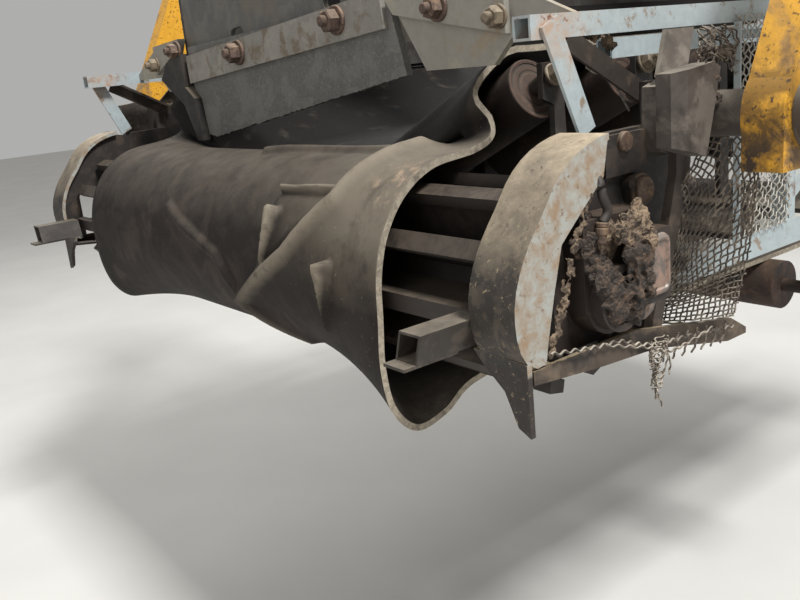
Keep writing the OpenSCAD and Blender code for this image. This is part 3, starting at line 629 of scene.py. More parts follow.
# %% The belt's sizes
BELT_W, BELT_T, DRUM_R, BELT_GAP = 850, 12, 108, 5.5
NEAR_SLACK, FAR_SLACK = 63, 36
CARRY_Z, END_X, IDLER_X, ROLLER_R, SEAT_GAP = 112, 1250, 140, 38, 0.3
FLAT_Y, TROUGH, TROUGH_ANGLE = BELT_W / 2, 145, math.radians(25)
WING = FLAT_Y - TROUGH
WRAP = DRUM_R + BELT_GAP + BELT_T / 2
EDGE_Y = TROUGH + WING * math.cos(TROUGH_ANGLE)
EDGE_Z = CARRY_Z + WING * math.sin(TROUGH_ANGLE)
print("the belt's edge lies", round(EDGE_Z), "mm up in the trough")
print("the belt's middle lies", WRAP, "mm from the drum's axis")


# %% The belt's guiding curves
def polar(angle, radius):
    """X and Z on a circle round the drum's axis."""
    return (radius * math.cos(math.radians(angle)), radius * math.sin(math.radians(angle)))


# Mid width: along the trough, down to the drum, round it and back underneath
mid_path = [(END_X, CARRY_Z), (1000, CARRY_Z), (700, CARRY_Z), (480, CARRY_Z), (310, CARRY_Z),
            (IDLER_X + 20, CARRY_Z), (IDLER_X - 10, CARRY_Z - 1), (108, 106), (88, 101), (68, 102)]
mid_path += [polar(a, WRAP) for a in (60, 76, 92, 110, 130, 150, 170, 190, 210, 230, 250, 270)]
mid_path += [(x, -WRAP) for x in (60, 200, 600, END_X)]
# The edge up to the drum: the trough's rim, then the S-shaped lip
lip = [(x, EDGE_Y, EDGE_Z) for x in (END_X, 1000, 700, 480, 310, IDLER_X + 18, IDLER_X - 22)]
lip += [(92, EDGE_Y + 1, EDGE_Z - 10), (62, EDGE_Y + 3, EDGE_Z - 29), (52, EDGE_Y + 6, EDGE_Z - 46),
        (68, EDGE_Y + 10, EDGE_Z - 68), (64, EDGE_Y + 15, EDGE_Z - 90), (30, EDGE_Y + 20, EDGE_Z - 102)]
# The bell: angle round the drum, and how much of the slack hangs out there
BELL = [(107, 0.12), (129, 0.11), (150, 0.07), (171, 0.05), (193, 0.14), (212, 0.5), (227, 0.88), (240, 1),
        (252, 0.64)]
back_under = [(4, FLAT_Y, -WRAP - 8), (160, FLAT_Y, -WRAP), (600, FLAT_Y, -WRAP), (END_X, FLAT_Y, -WRAP)]


def edge_with(slack):
    """The edge's curve with this many millimetres of slack in its bell."""
    round_drum = [polar(angle, WRAP + share * slack) for angle, share in BELL]
    return lip + [(x, FLAT_Y, z) for x, z in round_drum] + back_under


# On the far side the slack is taken up, so the edge bells out less there
near_path, far_path = edge_with(NEAR_SLACK), edge_with(FAR_SLACK)
# For each point of the curves, how late the sheet turns from its middle to its edge
TURN_LATE = [1] * 8 + [1.6, 2.6, 3, 3, 2.8, 2.4] + [2.2] * 9 + [2] * 3
print("points on the curves:", len(mid_path), len(near_path), len(TURN_LATE))


# %% The belt's surface
def belt_point(s, y):
    """The belt's middle surface, s along it and y across it."""
    m = along(mid_path, s)
    e = along(far_path if y > 0 else near_path, s)
    i = min(int(s), len(TURN_LATE) - 2)
    power = TURN_LATE[i] + (TURN_LATE[i + 1] - TURN_LATE[i]) * (s - i)
    w = max(0.0, (abs(y) - TROUGH) / WING) ** power
    out = abs(y) + w * (e[1] - FLAT_Y)
    return Vector((m[0] + (e[0] - m[0]) * w, math.copysign(out, y), m[1] + (e[2] - m[1]) * w))


def belt_normal(s, y):
    """The direction out of the belt's outer face, in the plane of X and Z."""
    a = belt_point(max(s - 0.02, 0), y)
    b = belt_point(min(s + 0.02, len(mid_path) - 1), y)
    return Vector((b.z - a.z, 0, a.x - b.x)).normalized()


# Millimetres along the belt's middle, in twentieths of a step from point to point
SAMPLES = 20
lengths = [0.0]
for k in range(1, (len(mid_path) - 1) * SAMPLES):
    a = along(mid_path, (k - 1) / SAMPLES)
    b = along(mid_path, k / SAMPLES)
    lengths.append(lengths[-1] + math.dist(a, b))


def travel(s):
    """Millimetres along the belt's middle up to s."""
    i = min(int(s * SAMPLES), len(lengths) - 2)
    return lengths[i] + (lengths[i + 1] - lengths[i]) * (s * SAMPLES - i)


print("the belt's middle is", round(lengths[-1]), "mm long")


# %% [markdown]
# The cleats are ribs, mostly 8 to 25 mm high, that run over the outer face in chevrons
# with short stubs between them. Each is a line across the belt's own two directions. The
# outer face rises towards the nearest line, so a cleat is part of the sheet, as moulded
# rubber is, and bends with it round the drum.

# %% The cleats
# Points of (place along the belt, millimetres across), then pairs for the two ends' heights
# and half widths, and the widths of the steep far flank and the gentler near flank
CLEATS = [
    ([(12.0, -353), (12.6, -350), (13.04, -346), (13.74, -333), (14.36, -325), (15.0, -294), (15.84, -252),
      (16.7, -180), (17.64, -106), (17.72, -96)], (18, 15), (3, 3), (7, 38)),
    ([(17.72, -96), (16.5, -56), (15.69, 60), (15.2, 112)], (8, 4), (1.5, 1), (6, 12)),
    ([(14.9, -212), (15.3, -211), (15.8, -204), (16.3, -193)], (25, 12), (2.5, 0.6), (5, 6)),
    ([(14.2, -202), (14.1, -322)], (15, 15), (1, 1), (5, 5)),
    ([(15.98, -334), (16.44, -331), (17.0, -322), (17.8, -308)], (25, 4), (1.2, 0.3), (3.5, 4)),
    ([(17.72, -96), (18.5, -140), (19.3, -190)], (15, 10), (3, 3), (9, 25)),
    ([(12.2, -34), (11.8, -60), (11.5, -120), (11.45, -200), (11.6, -280)], (9, 9), (3, 3), (7, 10)),
]
# The flat gusset between a stub and the long rib, its corners given in turn
GUSSET, GUSSET_HIGH, GUSSET_FLANK = [(14.15, -202), (14.1, -322), (16.2, -196)], 6, 5.5
# A flank wider than this rises as a hollow curve, a narrower one as a rounded step
GENTLE_FLANK = 20
cleat_lines = [([(travel(s), y) for s, y in line], *sizes) for line, *sizes in CLEATS]
gusset = [(travel(s), y) for s, y in GUSSET]
# Which way round its corners go
(t0, y0), (t1, y1), (t2, y2) = gusset
GUSSET_TURN = 1 if (t1 - t0) * (y2 - y0) > (y1 - y0) * (t2 - t0) else -1
print("cleats:", len(CLEATS), "with the gusset's corners", [(round(t), y) for t, y in gusset])

# %% The cleats' height
def blend(pair, share):
    """A value between the two of a pair."""
    return pair[0] + (pair[1] - pair[0]) * share


def gusset_height(t, y):
    """Height of the gusset at a place on the belt, falling off outside its three sides."""
    sides = zip(gusset, gusset[1:] + gusset[:1])
    outside = max(GUSSET_TURN * ((t - a[0]) * (b[1] - a[1]) - (y - a[1]) * (b[0] - a[0])) / math.dist(a, b)
                  for a, b in sides)
    if outside >= GUSSET_FLANK:
        return 0.0
    rise = min(1.0, (GUSSET_FLANK - outside) / GUSSET_FLANK)
    return GUSSET_HIGH * rise * (1 + rise - rise * rise)


def cleat_height(t, y):
    """Height of the outer face over the plain sheet, in millimetres."""
    best = gusset_height(t, y)
    for line, heights, halves, flanks in cleat_lines:
        for k, ((t0, y0), (t1, y1)) in enumerate(zip(line, line[1:])):
            dt, dy = t1 - t0, y1 - y0
            u = min(max(((t - t0) * dt + (y - y0) * dy) / (dt * dt + dy * dy), 0), 1)
            off = y - y0 - u * dy
            share = (k + u) / (len(line) - 1)
            half = blend(halves, share)
            flank = flanks[0] if off > 0 else flanks[1]
            far = math.hypot(t - t0 - u * dt, off)
            if far < half + flank:
                rise = min(1.0, (half + flank - far) / flank)
                slope = rise * rise if flank > GENTLE_FLANK else rise * (1 + rise - rise * rise)
                best = max(best, blend(heights, share) * slope)
    return best


print("the long rib is", round(cleat_height(*cleat_lines[0][0][4]), 1), "mm high at its fifth point")


# %% [markdown]
# The sheet is a grid of points, fine only where the cleats are, because a fine grid
# everywhere would be too heavy. The same grid on the inner side closes it to a slab. The
# inner face is cut back along the edge, as a worn belt's is.

# %% The belt's rows and columns
STEP_MM, COARSE_COLUMNS, FINE_COLUMNS = 3.0, 30, 182
CLEATED, COARSE_STEP = (11.5, 19.7), 0.25
# Few rows where the belt runs straight, more round the drum, and most where the cleats are.
# The stretch with more rows starts and ends at these points of the middle curve.
FINE_FROM, FINE_TO = 5.0, 22.5
rows_s = [k * COARSE_STEP for k in range(20)]
s_now = FINE_FROM
while s_now < FINE_TO - 0.1:
    rows_s.append(s_now)
    stride = STEP_MM if CLEATED[0] < s_now < CLEATED[1] else 2 * STEP_MM
    sample = int(s_now * SAMPLES)
    s_now += 1 / SAMPLES * stride / max(lengths[sample + 1] - lengths[sample], 0.3)
rows_s += [FINE_TO + k * COARSE_STEP for k in range(10)] + [len(mid_path) - 1.0]
fine = [-FLAT_Y + j * STEP_MM for j in range(FINE_COLUMNS)]
columns_y = fine + [fine[-1] + (FLAT_Y - fine[-1]) * (j + 1) / COARSE_COLUMNS for j in range(COARSE_COLUMNS)]
print("belt grid:", len(rows_s), "rows of", len(columns_y), "points")

# %% The belt's mesh
CREST_FULL_MM, EDGE_TAPER, EDGE_TAPER_W = 16, 4.5, 24
# Where along the belt a cleat could reach
NEAR_CLEATS = (10, 22)
verts, faces, crests = [], [], []
for side in (1, -1):
    for s in rows_s:
        t = travel(s)
        for y in columns_y:
            raised = cleat_height(t, y) if side > 0 and NEAR_CLEATS[0] < s < NEAR_CLEATS[1] else 0.0
            crests.append(min(1.0, raised / CREST_FULL_MM))
            lift = BELT_T / 2 + raised
            if side < 0:
                lift -= EDGE_TAPER * max(0.0, 1 - (FLAT_Y - abs(y)) / EDGE_TAPER_W)
            verts.append(place(*(belt_point(s, y) + side * lift * belt_normal(s, y))))
# Points are counted row by row, and those of the inner face follow those of the outer face
row, inner = len(columns_y), len(rows_s) * len(columns_y)
for i in range(len(rows_s) - 1):
    for j in range(row - 1):
        a = i * row + j
        faces.append((a, a + 1, a + 1 + row, a + row))
        faces.append((inner + a, inner + a + row, inner + a + row + 1, inner + a + 1))
    a = i * row
    faces.append((a, a + row, inner + a + row, inner + a))
    a = i * row + row - 1
    faces.append((a, inner + a, inner + a + row, a + row))
for j in range(row - 1):
    a = (len(rows_s) - 1) * row + j
    faces.append((j, inner + j, inner + j + 1, j + 1))
    faces.append((a, a + 1, inner + a + 1, inner + a))
belt_mesh = bpy.data.meshes.new("belt_sheet")
belt_mesh.from_pydata(verts, [], faces)
crest_layer = belt_mesh.attributes.new("crest", "FLOAT", "POINT")
crest_layer.data.foreach_set("value", crests)
belt = piece("belt_sheet", belt_mesh, "rubber", smooth=True)
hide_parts("belt")

# %% The belt's cut edge
# Where the rubber was cut its plies are frayed, and pale with the dust they hold
cut_edge = layered("cut belt edge", "#7d7466", "#938978", 4, 0.5, dust="#b5ac9b", dust_share=0.9,
                   rough=(0.7, 0.9), grain_mm=0.6, bump=0.5, third="#574e43", third_mm=12, third_share=0.25,
                   level=-0.5)
belt_mesh.materials.append(cut_edge)
cut_faces = [face for face in belt_mesh.polygons if len({v < inner for v in face.vertices}) == 2]
for face in cut_faces:
    face.material_index = 1
    face.use_smooth = False
print("faces on the cut edge:", len(cut_faces))


# %% [markdown]
# ## Woven wire
# The open windows of the side frame were closed with woven wire. Each wire is crimped, so
# that it dips under one crossing wire and rises over the next. A flat picture of a mesh
# would do from afar, but here the wires have to bend, part and hang, so each is a real rod
# with a wave in it.

# %% Crimped wires
WIRE_R, CRIMP, MESH_PITCH = 1.15, 1.3, 12
wander = random.Random(7)


def crimped(shape, path, out, phase, pitch=MESH_PITCH, radius=WIRE_R, crimp=CRIMP):
    """Adds a wire along a path, waved in and out along one direction."""
    points = [Vector(p) for p in path]
    reach = [0.0]
    for a, b in zip(points, points[1:]):
        reach.append(reach[-1] + (b - a).length)
    if reach[-1] < 2 * radius:
        return
    # Four points from crossing to crossing
    count = max(3, round(reach[-1] / pitch * 4))
    waved = []
    k = 0
    for n in range(count + 1):
        far = reach[-1] * n / count
        while k < len(reach) - 2 and reach[k + 1] < far:
            k += 1
        share = (far - reach[k]) / max(reach[k + 1] - reach[k], 1e-6)
        wave = crimp * math.sin(math.pi * (far / pitch) + phase)
        waved.append(points[k].lerp(points[k + 1], min(share, 1)) + Vector(out) * wave)
    swept(shape, waved, radius, 5)


print("crimped wire:", 2 * WIRE_R, "mm thick, with a crossing every", MESH_PITCH, "mm")


# %% [markdown]
# In the window ahead of the first post both side frames still have part of their sheet. It
# hangs cornerwise, so its wires run at 45 degrees. On the near side only a strip at the
# post is left, and on the far side most of the panel, with a rod along its edge. An
# upright bar stands in each panel.

# %% The sheets that still hang in their windows
# Its left and right end, its foot and its top
WINDOW = (150, 404, -6, 246)
WINDOW_Y, WINDOW_PITCH, WINDOW_WIRE_R, WINDOW_STEPS = 584, 9, 0.85, 60


def window_wires(shape, side, torn_edge):
    """Wires at 45 degrees in the window, from a torn edge to the post."""
    left, right, low, high = WINDOW
    tall = high - low
    step = WINDOW_PITCH * math.sqrt(2)
    for tilt in (1, -1):
        for k in range(int((right - left + tall) / step) + 1):
            path = []
            for n in range(WINDOW_STEPS + 1):
                way = tall * n / WINDOW_STEPS
                x = left - tall + k * step + way
                z = low + way if tilt > 0 else high - way
                if torn_edge(z) + wander.uniform(-4, 4) < x < right:
                    path.append((x, side * WINDOW_Y, z))
            if len(path) > 3:
                phase = math.pi * (k % 2) + (0 if tilt > 0 else math.pi / 2)
                crimped(shape, path, (0, 1, 0), phase, WINDOW_PITCH, WINDOW_WIRE_R)


wires = bmesh.new()
window_wires(wires, -1, lambda z: 300 + 10 * math.sin(z * 0.09) - 0.12 * z)
woven = piece("woven_guard_near", wires, "wire")
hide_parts("mesh_guard_near")


# %% [markdown]
# The near sheet has torn off its frame. It flares outwards from the corner post, its wires
# bunched in the middle and fanned out at the free edge. A small net of places, measured
# in the sheet's own plane, steers all of them: every wire is a smooth curve through it.

# %% The torn sheet
# From the foot up, for the left end, the middle and the free edge: distance out from the
# corner post and height over the post's foot
SHEET = [
    [(-5, -25), (36, -28), (85, -27)], [(-5, -12), (41, -5), (93, -3)], [(-3, -3), (46, 13), (99, 31)],
    [(1, 5), (46, 39), (104, 80)], [(7, 26), (51, 71), (112, 131)], [(13, 56), (51, 107), (92, 163)],
    [(21, 102), (36, 128), (58, 171)],
]
POST_FOOT, FLARE, SHEET_OUT = Vector((92, -607, -30)), Vector((0.85, -0.527, 0)), (0.527, 0.85, 0)
LONG_WIRES, CROSS_WIRES = 31, 19
SHEET_WIRE = dict(pitch=7, radius=1.0, crimp=1.1)


def on_sheet(i, j):
    """A place on the torn sheet, i counting the net's rows and j its columns."""
    distance, rise = along([along(row, j) for row in SHEET], i)
    bulge = 4 * math.sin(0.05 * distance + 0.04 * rise)
    return POST_FOOT + FLARE * distance + Vector((-0.5 * bulge, -0.8 * bulge, rise))


wires = bmesh.new()
for k in range(LONG_WIRES):
    i = 6 * k / (LONG_WIRES - 1) * 0.9999
    spare = wander.uniform(0, 0.12)
    path = [on_sheet(i, 1.98 * n / 40) for n in range(41)]
    last = path[-1] - path[-2]
    path += [path[-1] + last * n * spare * 20 for n in (0.5, 1)]
    crimped(wires, path, SHEET_OUT, math.pi * k, **SHEET_WIRE)
for k in range(CROSS_WIRES):
    j = 1.99 * k / (CROSS_WIRES - 1)
    path = [on_sheet(5.99 * n / 60, j) for n in range(int(wander.uniform(0, 3)), 61)]
    crimped(wires, path, SHEET_OUT, math.pi * k + math.pi / 2, **SHEET_WIRE)
old_wire = plain_finish("rusted wire", base="#4a4038", second="#7d7265", patch_mm=8, dust="#c2b8a6",
                        dust_share=0.8, third="#2e2621", third_mm=14, third_share=0.35)
piece("torn_wire_sheet", wires, "wire", old_wire)


# %% [markdown]
# Round the sheet hang its ends: the thick selvedge wire that lies along the lower angle,
# short ends over the angle's edge, one shred that hangs below it, and rags at the top. A
# seeded random walk gives the rags, so that they fall the same way in every run.

# %% Selvedge and shred
wires = bmesh.new()
selvedge = [(-96, -634, -29), (-56, -634, -36), (-28, -633, -41), (1, -633, -44), (32, -632, -56),
            (64, -632, -64), (115, -634, -69), (171, -634, -77), (194, -634, -80)]
crimped(wires, smooth_path(selvedge), (0, 0, 1), 0, pitch=7, radius=1.3, crimp=1.6)
second_wire = [(-30, -640, -38), (20, -652, -52), (60, -650, -66), (120, -655, -58)]
crimped(wires, smooth_path(second_wire), (0, 0, 1), 1, pitch=7)
for k in range(7):
    x = 66 + 17 * k
    short = [(x, -640, -48 - 0.1 * x), (x - 3, -641, -62 - 0.1 * x), (x - 7, -638, -76 - 0.08 * x)]
    crimped(wires, short, (1, 0, 0), k, pitch=6)
# The shred: seven wires that hang, the middle ones longest, and thirteen across them
for k in range(7):
    x = 47 + 3.6 * k
    foot = -100 - 5 * (k % 3) - 22 * (k in (2, 3, 4))
    path = [(x + 1.5 * math.sin(z * 0.2 + k), -634 - 6 * math.sin(z * 0.05 + k), z)
            for z in range(-60, foot, -4)]
    crimped(wires, path, (0.6, 0.8, 0), k, pitch=5, radius=0.95)
for k in range(13):
    z = -64 - 3.7 * k
    path = [(44 + 0.5 * k + d + wander.uniform(-1, 1), -634 - 4 * math.sin(d * 0.3 + k), z + 0.35 * d)
            for d in range(0, 26 - k, 3)]
    crimped(wires, path, (0, 1, 0), k, pitch=5, radius=0.95)
print("selvedge and shred:", len(wires.faces), "faces")

# %% Rags, and the far panel
for k in range(16):
    x, z = 203 + 4 * k, 238 - wander.uniform(0, 6)
    path = [(x, -586, z)]
    for n in range(7):
        x += wander.uniform(-9, 8)
        z -= wander.uniform(2, 9)
        path.append((x, -588 + wander.uniform(-8, 3), z))
    crimped(wires, smooth_path(path, 3), (0, 1, 0), k, pitch=8)
piece("torn_wire_ends", wires, "wire", old_wire)
bar = bmesh.new()
for y in (-583, 583):
    swept(bar, [(283, y, -5), (283, y, 239)], 5, 4)
piece("wire_panel_bars", bar, "frame_blue")
FAR_EDGE_X = 196
wires = bmesh.new()
window_wires(wires, 1, lambda z: FAR_EDGE_X)
swept(wires, [(FAR_EDGE_X, WINDOW_Y, -8), (FAR_EDGE_X, WINDOW_Y, 248)], 2.5, 6)
woven = piece("woven_guard_far", wires, "wire")
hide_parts("mesh_guard_far")


# %% [markdown]
# ## Caked dirt
# Wet asphalt fines set like mortar and break like it. Each heap is a handful of clods, balls
# that random planes have cut flat, melted into one skin by a voxel remesh. Noise then pushes
# the skin in and out along its own normals, for the crumbs. The dirt has dried to a pale
# crust on the sunny side, and is wet and oily underneath.

# %% Clods and crumbs
CLOD_FLATS = 7


def clod(shape, at, size, dice):
    """A ball with a few flats cut by random planes, stretched to its size along each axis."""
    ball = bmesh.ops.create_icosphere(shape, subdivisions=3, radius=1)
    for _ in range(CLOD_FLATS):
        away = Vector((dice.gauss(0, 1), dice.gauss(0, 1), dice.gauss(0, 1))).normalized()
        depth = dice.uniform(0.35, 0.75)
        for v in ball["verts"]:
            over = v.co.dot(away) - depth
            if over > 0:
                v.co -= away * over
    for v in ball["verts"]:
        v.co = place(*(a + b * c for a, b, c in zip(at, v.co, size)))


def crumbled(skin_mesh, depth, seed):
    """Pushes a mesh's points along their normals by noise: broad lumps out, small crumbs in."""
    shift = Vector((seed * 3.1, seed * 1.7, 0))
    normals = [v.normal.copy() for v in skin_mesh.vertices]
    for v, normal in zip(skin_mesh.vertices, normals):
        here = v.co * 1000
        coarse = noise.fractal(here / 14 + shift, 1.0, 2.1, 3)
        crumbs = noise.turbulence(here / 4 + shift, 3, True)
        v.co += normal * (0.3 * depth * coarse - 0.4 * depth * crumbs) / 1000


print("a clod is a ball with", CLOD_FLATS, "flats")

# %% Heaps
def heap(name, lumps, depth, seed, finish, voxel):
    """A heap from clods (x, y, z, and a radius along each axis), roughened by noise."""
    shape = bmesh.new()
    dice = random.Random(seed)
    for lump in lumps:
        clod(shape, lump[:3], lump[3:], dice)
    raw = bpy.data.objects.new(name + "_raw", as_mesh(name + "_raw", shape))
    bpy.context.collection.objects.link(raw)
    melt = raw.modifiers.new("melt", "REMESH")
    melt.mode = "VOXEL"
    melt.voxel_size = voxel / 1000
    skin_mesh = bpy.data.meshes.new_from_object(raw.evaluated_get(bpy.context.evaluated_depsgraph_get()))
    bpy.data.objects.remove(raw)
    crumbled(skin_mesh, depth, seed)
    skin_mesh.name = name
    return piece(name, skin_mesh, "raw_steel", finish)


def lumps_along(points, count, spread, size, seed):
    """Small flat lumps scattered along a path, for dirt that clings to an edge."""
    dice = random.Random(seed)
    lumps = []
    for _ in range(count):
        x, y, z = along(points, dice.uniform(0, len(points) - 1.001))
        grow = dice.uniform(0.45, 1.0) ** 1.5
        at = (x + dice.gauss(0, spread), y + dice.gauss(0, spread * 0.5), z + dice.gauss(0, spread))
        lumps.append((*at, size * grow * dice.uniform(0.7, 1.3), size * 0.5 * grow,
                      size * grow * dice.uniform(0.7, 1.5)))
    return lumps


crust = layered("dried asphalt fines", "#4d4034", "#776552", 7, 0.45, dust="#a08c72", dust_share=0.55,
                rough=(0.85, 0.98), bump=1.0, third="#2c231d", third_mm=12, third_share=0.42)
oily = layered("oily fines", "#2a211b", "#4c3b2e", 7, 0.42, dust="#6f5b48", dust_share=0.4,
               rough=(0.65, 0.95), bump=1.0, third="#15110e", third_mm=12, third_share=0.42)
print("dirt:", crust.name, "and", oily.name)

# %% Where the dirt lies
# Name; trails of (path, lumps, spread, size, seed); depth of the crumbs; seed; finish; voxel
DIRT = [
    ("dirt_on_bearing", [([(-12, -622, 54), (8, -628, 62), (26, -632, 64), (42, -634, 54)], 54, 5, 16, 1),
                         ([(-4, -642, 58), (18, -644, 58), (34, -644, 50)], 26, 4, 12, 11),
                         ([(2, -640, 76), (20, -640, 76)], 10, 2, 9, 21)], 5, 1, crust, 1.5),
    ("dirt_below_bearing_cap",
     [([(-30, -622, 46), (-24, -632, 30), (-16, -640, 12), (-8, -640, -8)], 50, 6, 15, 2),
      ([(10, -642, 50), (10, -648, 30), (10, -648, 8), (16, -642, -10)], 44, 5, 15, 12),
      ([(27, -650, 44), (25, -651, 20), (27, -650, 0)], 26, 3, 8, 22)], 5, 2, oily, 1.5),
    ("dirt_on_guard", [([(-26, -625, 98), (-38, -625, 80), (-50, -626, 58), (-60, -626, 34), (-69, -626, 10),
                         (-78, -626, -12), (-88, -626, -34)], 130, 2.6, 5.5, 3)], 3, 3, crust, 1.1),
    ("dirt_by_guard", [([(-36, -618, 84), (-30, -616, 70), (-40, -616, 52)], 24, 5, 9, 13)], 4, 13, oily, 1.4),
    ("dirt_under_chord", [([(40, -571, 237), (62, -570, 235), (84, -568, 229)], 26, 3, 6, 4),
                          ([(168, -489, 236), (186, -489, 236)], 10, 3, 6, 14)], 3, 4, crust, 1.2),
    ("dirt_on_block", [([(96, -664, 199), (108, -664, 194), (110, -664, 172)], 34, 3, 6, 5)], 3, 5, oily, 1.2),
    ("dirt_on_pin_head", [([(66, -606, 97), (60, -605, 92)], 9, 2.5, 4.5, 6)], 2.5, 6, oily, 1.0),
    ("dirt_far_bearing", [([(-20, 620, 60), (20, 626, 66), (50, 628, 40), (20, 640, 10), (-10, 630, 0)],
                           60, 7, 15, 7)], 5, 7, crust, 2.2),
]
for name, trails, depth, seed, finish, voxel in DIRT:
    heap(name, [lump for trail in trails for lump in lumps_along(*trail)], depth, seed, finish, voxel)


# %% [markdown]
# ## Fasteners
# Nuts, washers and studs are turned forms with chamfers, so that their edges catch light.
# The hexagon of a nut is a turned form with six sides. The thread's end is drawn as four
# rings, because a real helix would cost far more and show no better at this size.

# %% A nut on its stud
def fastener(shape, at, axis, flats, washer, stud, start=0.0):
    """A washer, a chamfered hexagon nut and the stud's end, along an axis."""
    thick = 0.12 * washer
    turned(shape, at, axis, [(-0.3, washer / 2 - 0.6), (0.5, washer / 2), (thick - 0.6, washer / 2),
                             (thick, washer / 2 - 0.8)])
    corner = flats / math.sqrt(3)
    top = thick + 0.62 * flats
    turned(shape, at, axis, [(thick - 0.2, corner * 0.9), (thick + 1.2, corner), (top - 1.6, corner),
                             (top, corner * 0.84)], 6, start)
    thread = [(top - 1, stud / 2)]
    for k in range(4):
        thread += [(top + 0.4 + 1.5 * k, stud / 2), (top + 1.1 + 1.5 * k, stud / 2 - 0.7)]
    thread += [(top + 6.4, stud / 2 - 0.3), (top + 7.2, stud / 2 - 1.6)]
    turned(shape, at, axis, thread, 20)


# Zinc has gone from these nuts, and brown rust under dust makes them warm spots on the grey
rusty_nut = layered("rusted zinc nut", "#54433a", "#40312a", 4, 0.45, dust="#a08d78", dust_share=0.6,
                    rough=(0.55, 0.9), grain_mm=0.8, bump=0.6, third="#745c4a", third_mm=7, third_share=0.35)
# These still have their zinc under a tan film
tan_nut = layered("dusty zinc nut", "#776a58", "#5b4f40", 5, 0.45, dust="#ab9f8b", dust_share=0.5,
                  rough=(0.5, 0.8), grain_mm=0.8, bump=0.4)
dark_head = plain_finish("brown bolt head", base="#4e3d32", second="#66523f", patch_mm=4, dust="#8f7d67",
                         third="#382b23", third_mm=8)
print("nuts:", rusty_nut.name, "and", tan_nut.name)

# %% Bolts on the hopper's back and on the bearing plates
# Name; places with the turn of the nut; sizes over flats, washer and stud; slot; finish
BOLTS = [
    ("clamp_bolts", [(50, 126, 269, 0.3), (50, -150, 292, 0.9)], (26, 38, 15), "rust", rusty_nut),
    ("bracket_bolts", [(52, -351, 287, 0.5), (52, 351, 287, 0.5)], (22, 32, 13), "rust", rusty_nut),
    ("bracket_nuts", [(52, -447, 268, 0.1), (52, 447, 268, 0.1)], (20, 26, 12), "raw_steel", tan_nut),
]
for name, places, sizes, slot, finish in BOLTS:
    bolts = bmesh.new()
    for x, y, z, start in places:
        fastener(bolts, (x, y, z), (-1, 0, 0), *sizes, start)
    piece(name, bolts, slot, finish)
# Place on the far side; pairs of height and radius; sides. The last two are one big stepped head
PLATE_HEADS = [
    ((62, 596, 137), [(-1, 10), (3, 10), (4.4, 9), (4.8, 7)], 28),
    ((18, 600, -43), [(-1, 9), (1.5, 9), (2, 7), (6, 7), (7, 5)], 28),
    ((80, 601, 87), [(0, 17), (2, 17), (3, 16.2)], 36),
    ((80, 603, 87), [(0, 13.5), (4.4, 13.5), (5.2, 12.4), (4.2, 10.8), (4.2, 3)], 36),
]
bolts = bmesh.new()
for side in (-1, 1):
    for (x, y, z), profile, sides in PLATE_HEADS:
        turned(bolts, (x, y * side, z), (0, side, 0), profile, sides)
piece("plate_bolts", bolts, "rust", dark_head)


# %% [markdown]
# ## Roller ends
# The wing rollers show their outer ends: a rolled lip, a groove with the seal, and the
# hub, on a spindle with a nut. The CAD rollers are simpler there, so one turned cover with
# these steps sits on each end. Its place follows from the trough's slope, as the rollers'
# own does.

# %% Roller ends and spindle nuts
IDLERS_X = (140, 310, 480, 930)
ROLLER_REACH, SPINDLE_REACH = 270, 34.5
# Sizes over the nut's flats, the washer and the spindle's thread
SPINDLE_NUT = (21, 27, 12)
RING = [(-2, 37.9), (1.2, 37.6), (1.6, 36), (1.2, 33), (-1, 32), (0.3, 29), (0.6, 25), (-0.5, 22), (1.5, 19),
        (1.8, 12)]
up_slope = Vector((0, -math.cos(TROUGH_ANGLE), math.sin(TROUGH_ANGLE)))
drop = BELT_T / 2 + ROLLER_R + SEAT_GAP
rings, nuts = bmesh.new(), bmesh.new()
for x in IDLERS_X:
    for side in (1, -1):
        foot = Vector((x, -TROUGH - drop * math.sin(TROUGH_ANGLE), CARRY_Z - drop * math.cos(TROUGH_ANGLE)))
        end = foot + up_slope * ROLLER_REACH
        axis = Vector((0, up_slope.y * side, up_slope.z))
        at = Vector((end.x, end.y * side, end.z))
        turned(rings, at, axis, RING, 40)
        fastener(nuts, at + axis * SPINDLE_REACH, axis, *SPINDLE_NUT, 0.4)
piece("roller_end_rings", rings, "rust")
piece("spindle_ends", nuts, "raw_steel", tan_nut)


# %% [markdown]
# ## Small parts by the bearing
# A grease pipe comes down to the bearing in a short bend and ends in a crimped nut, and a
# twist of wire ties nothing any more under the top chord. They are swept along a few
# places each. The housing stands on a round foot, turned like the bolts.

# %% Grease pipe, wire twist and foot
pipe = bmesh.new()
bend = [(-16, -612, 128), (-14, -626, 112), (-15, -631, 97), (-10, -632, 84), (-17, -631, 74)]
swept(pipe, smooth_path(bend), 4.5, 10)
piece("grease_pipe", pipe, "raw_steel", special["side_plate"], smooth=True)
pipe_end = bmesh.new()
turned(pipe_end, (-17, -631, 75), (-0.15, 0, -1), [(0, 4.5), (1, 6), (4, 6), (5, 5), (6, 6.4), (11, 6.4),
                                                   (12, 5), (19, 5), (20, 4)], 16)
piece("pipe_nut", pipe_end, "raw_steel", dark_head)
tie = bmesh.new()
swept(tie, smooth_path([(50, -563, 210), (60, -565, 204), (72, -563, 203), (81, -566, 206), (83, -563, 201),
                        (92, -564, 190), (104, -563, 176), (116, -562, 161)]), 1.3)
swept(tie, smooth_path([(52, -566, 207), (62, -562, 206), (73, -566, 201), (80, -563, 201)]), 1.2)
piece("wire_twist", tie, "wire", smooth=True)
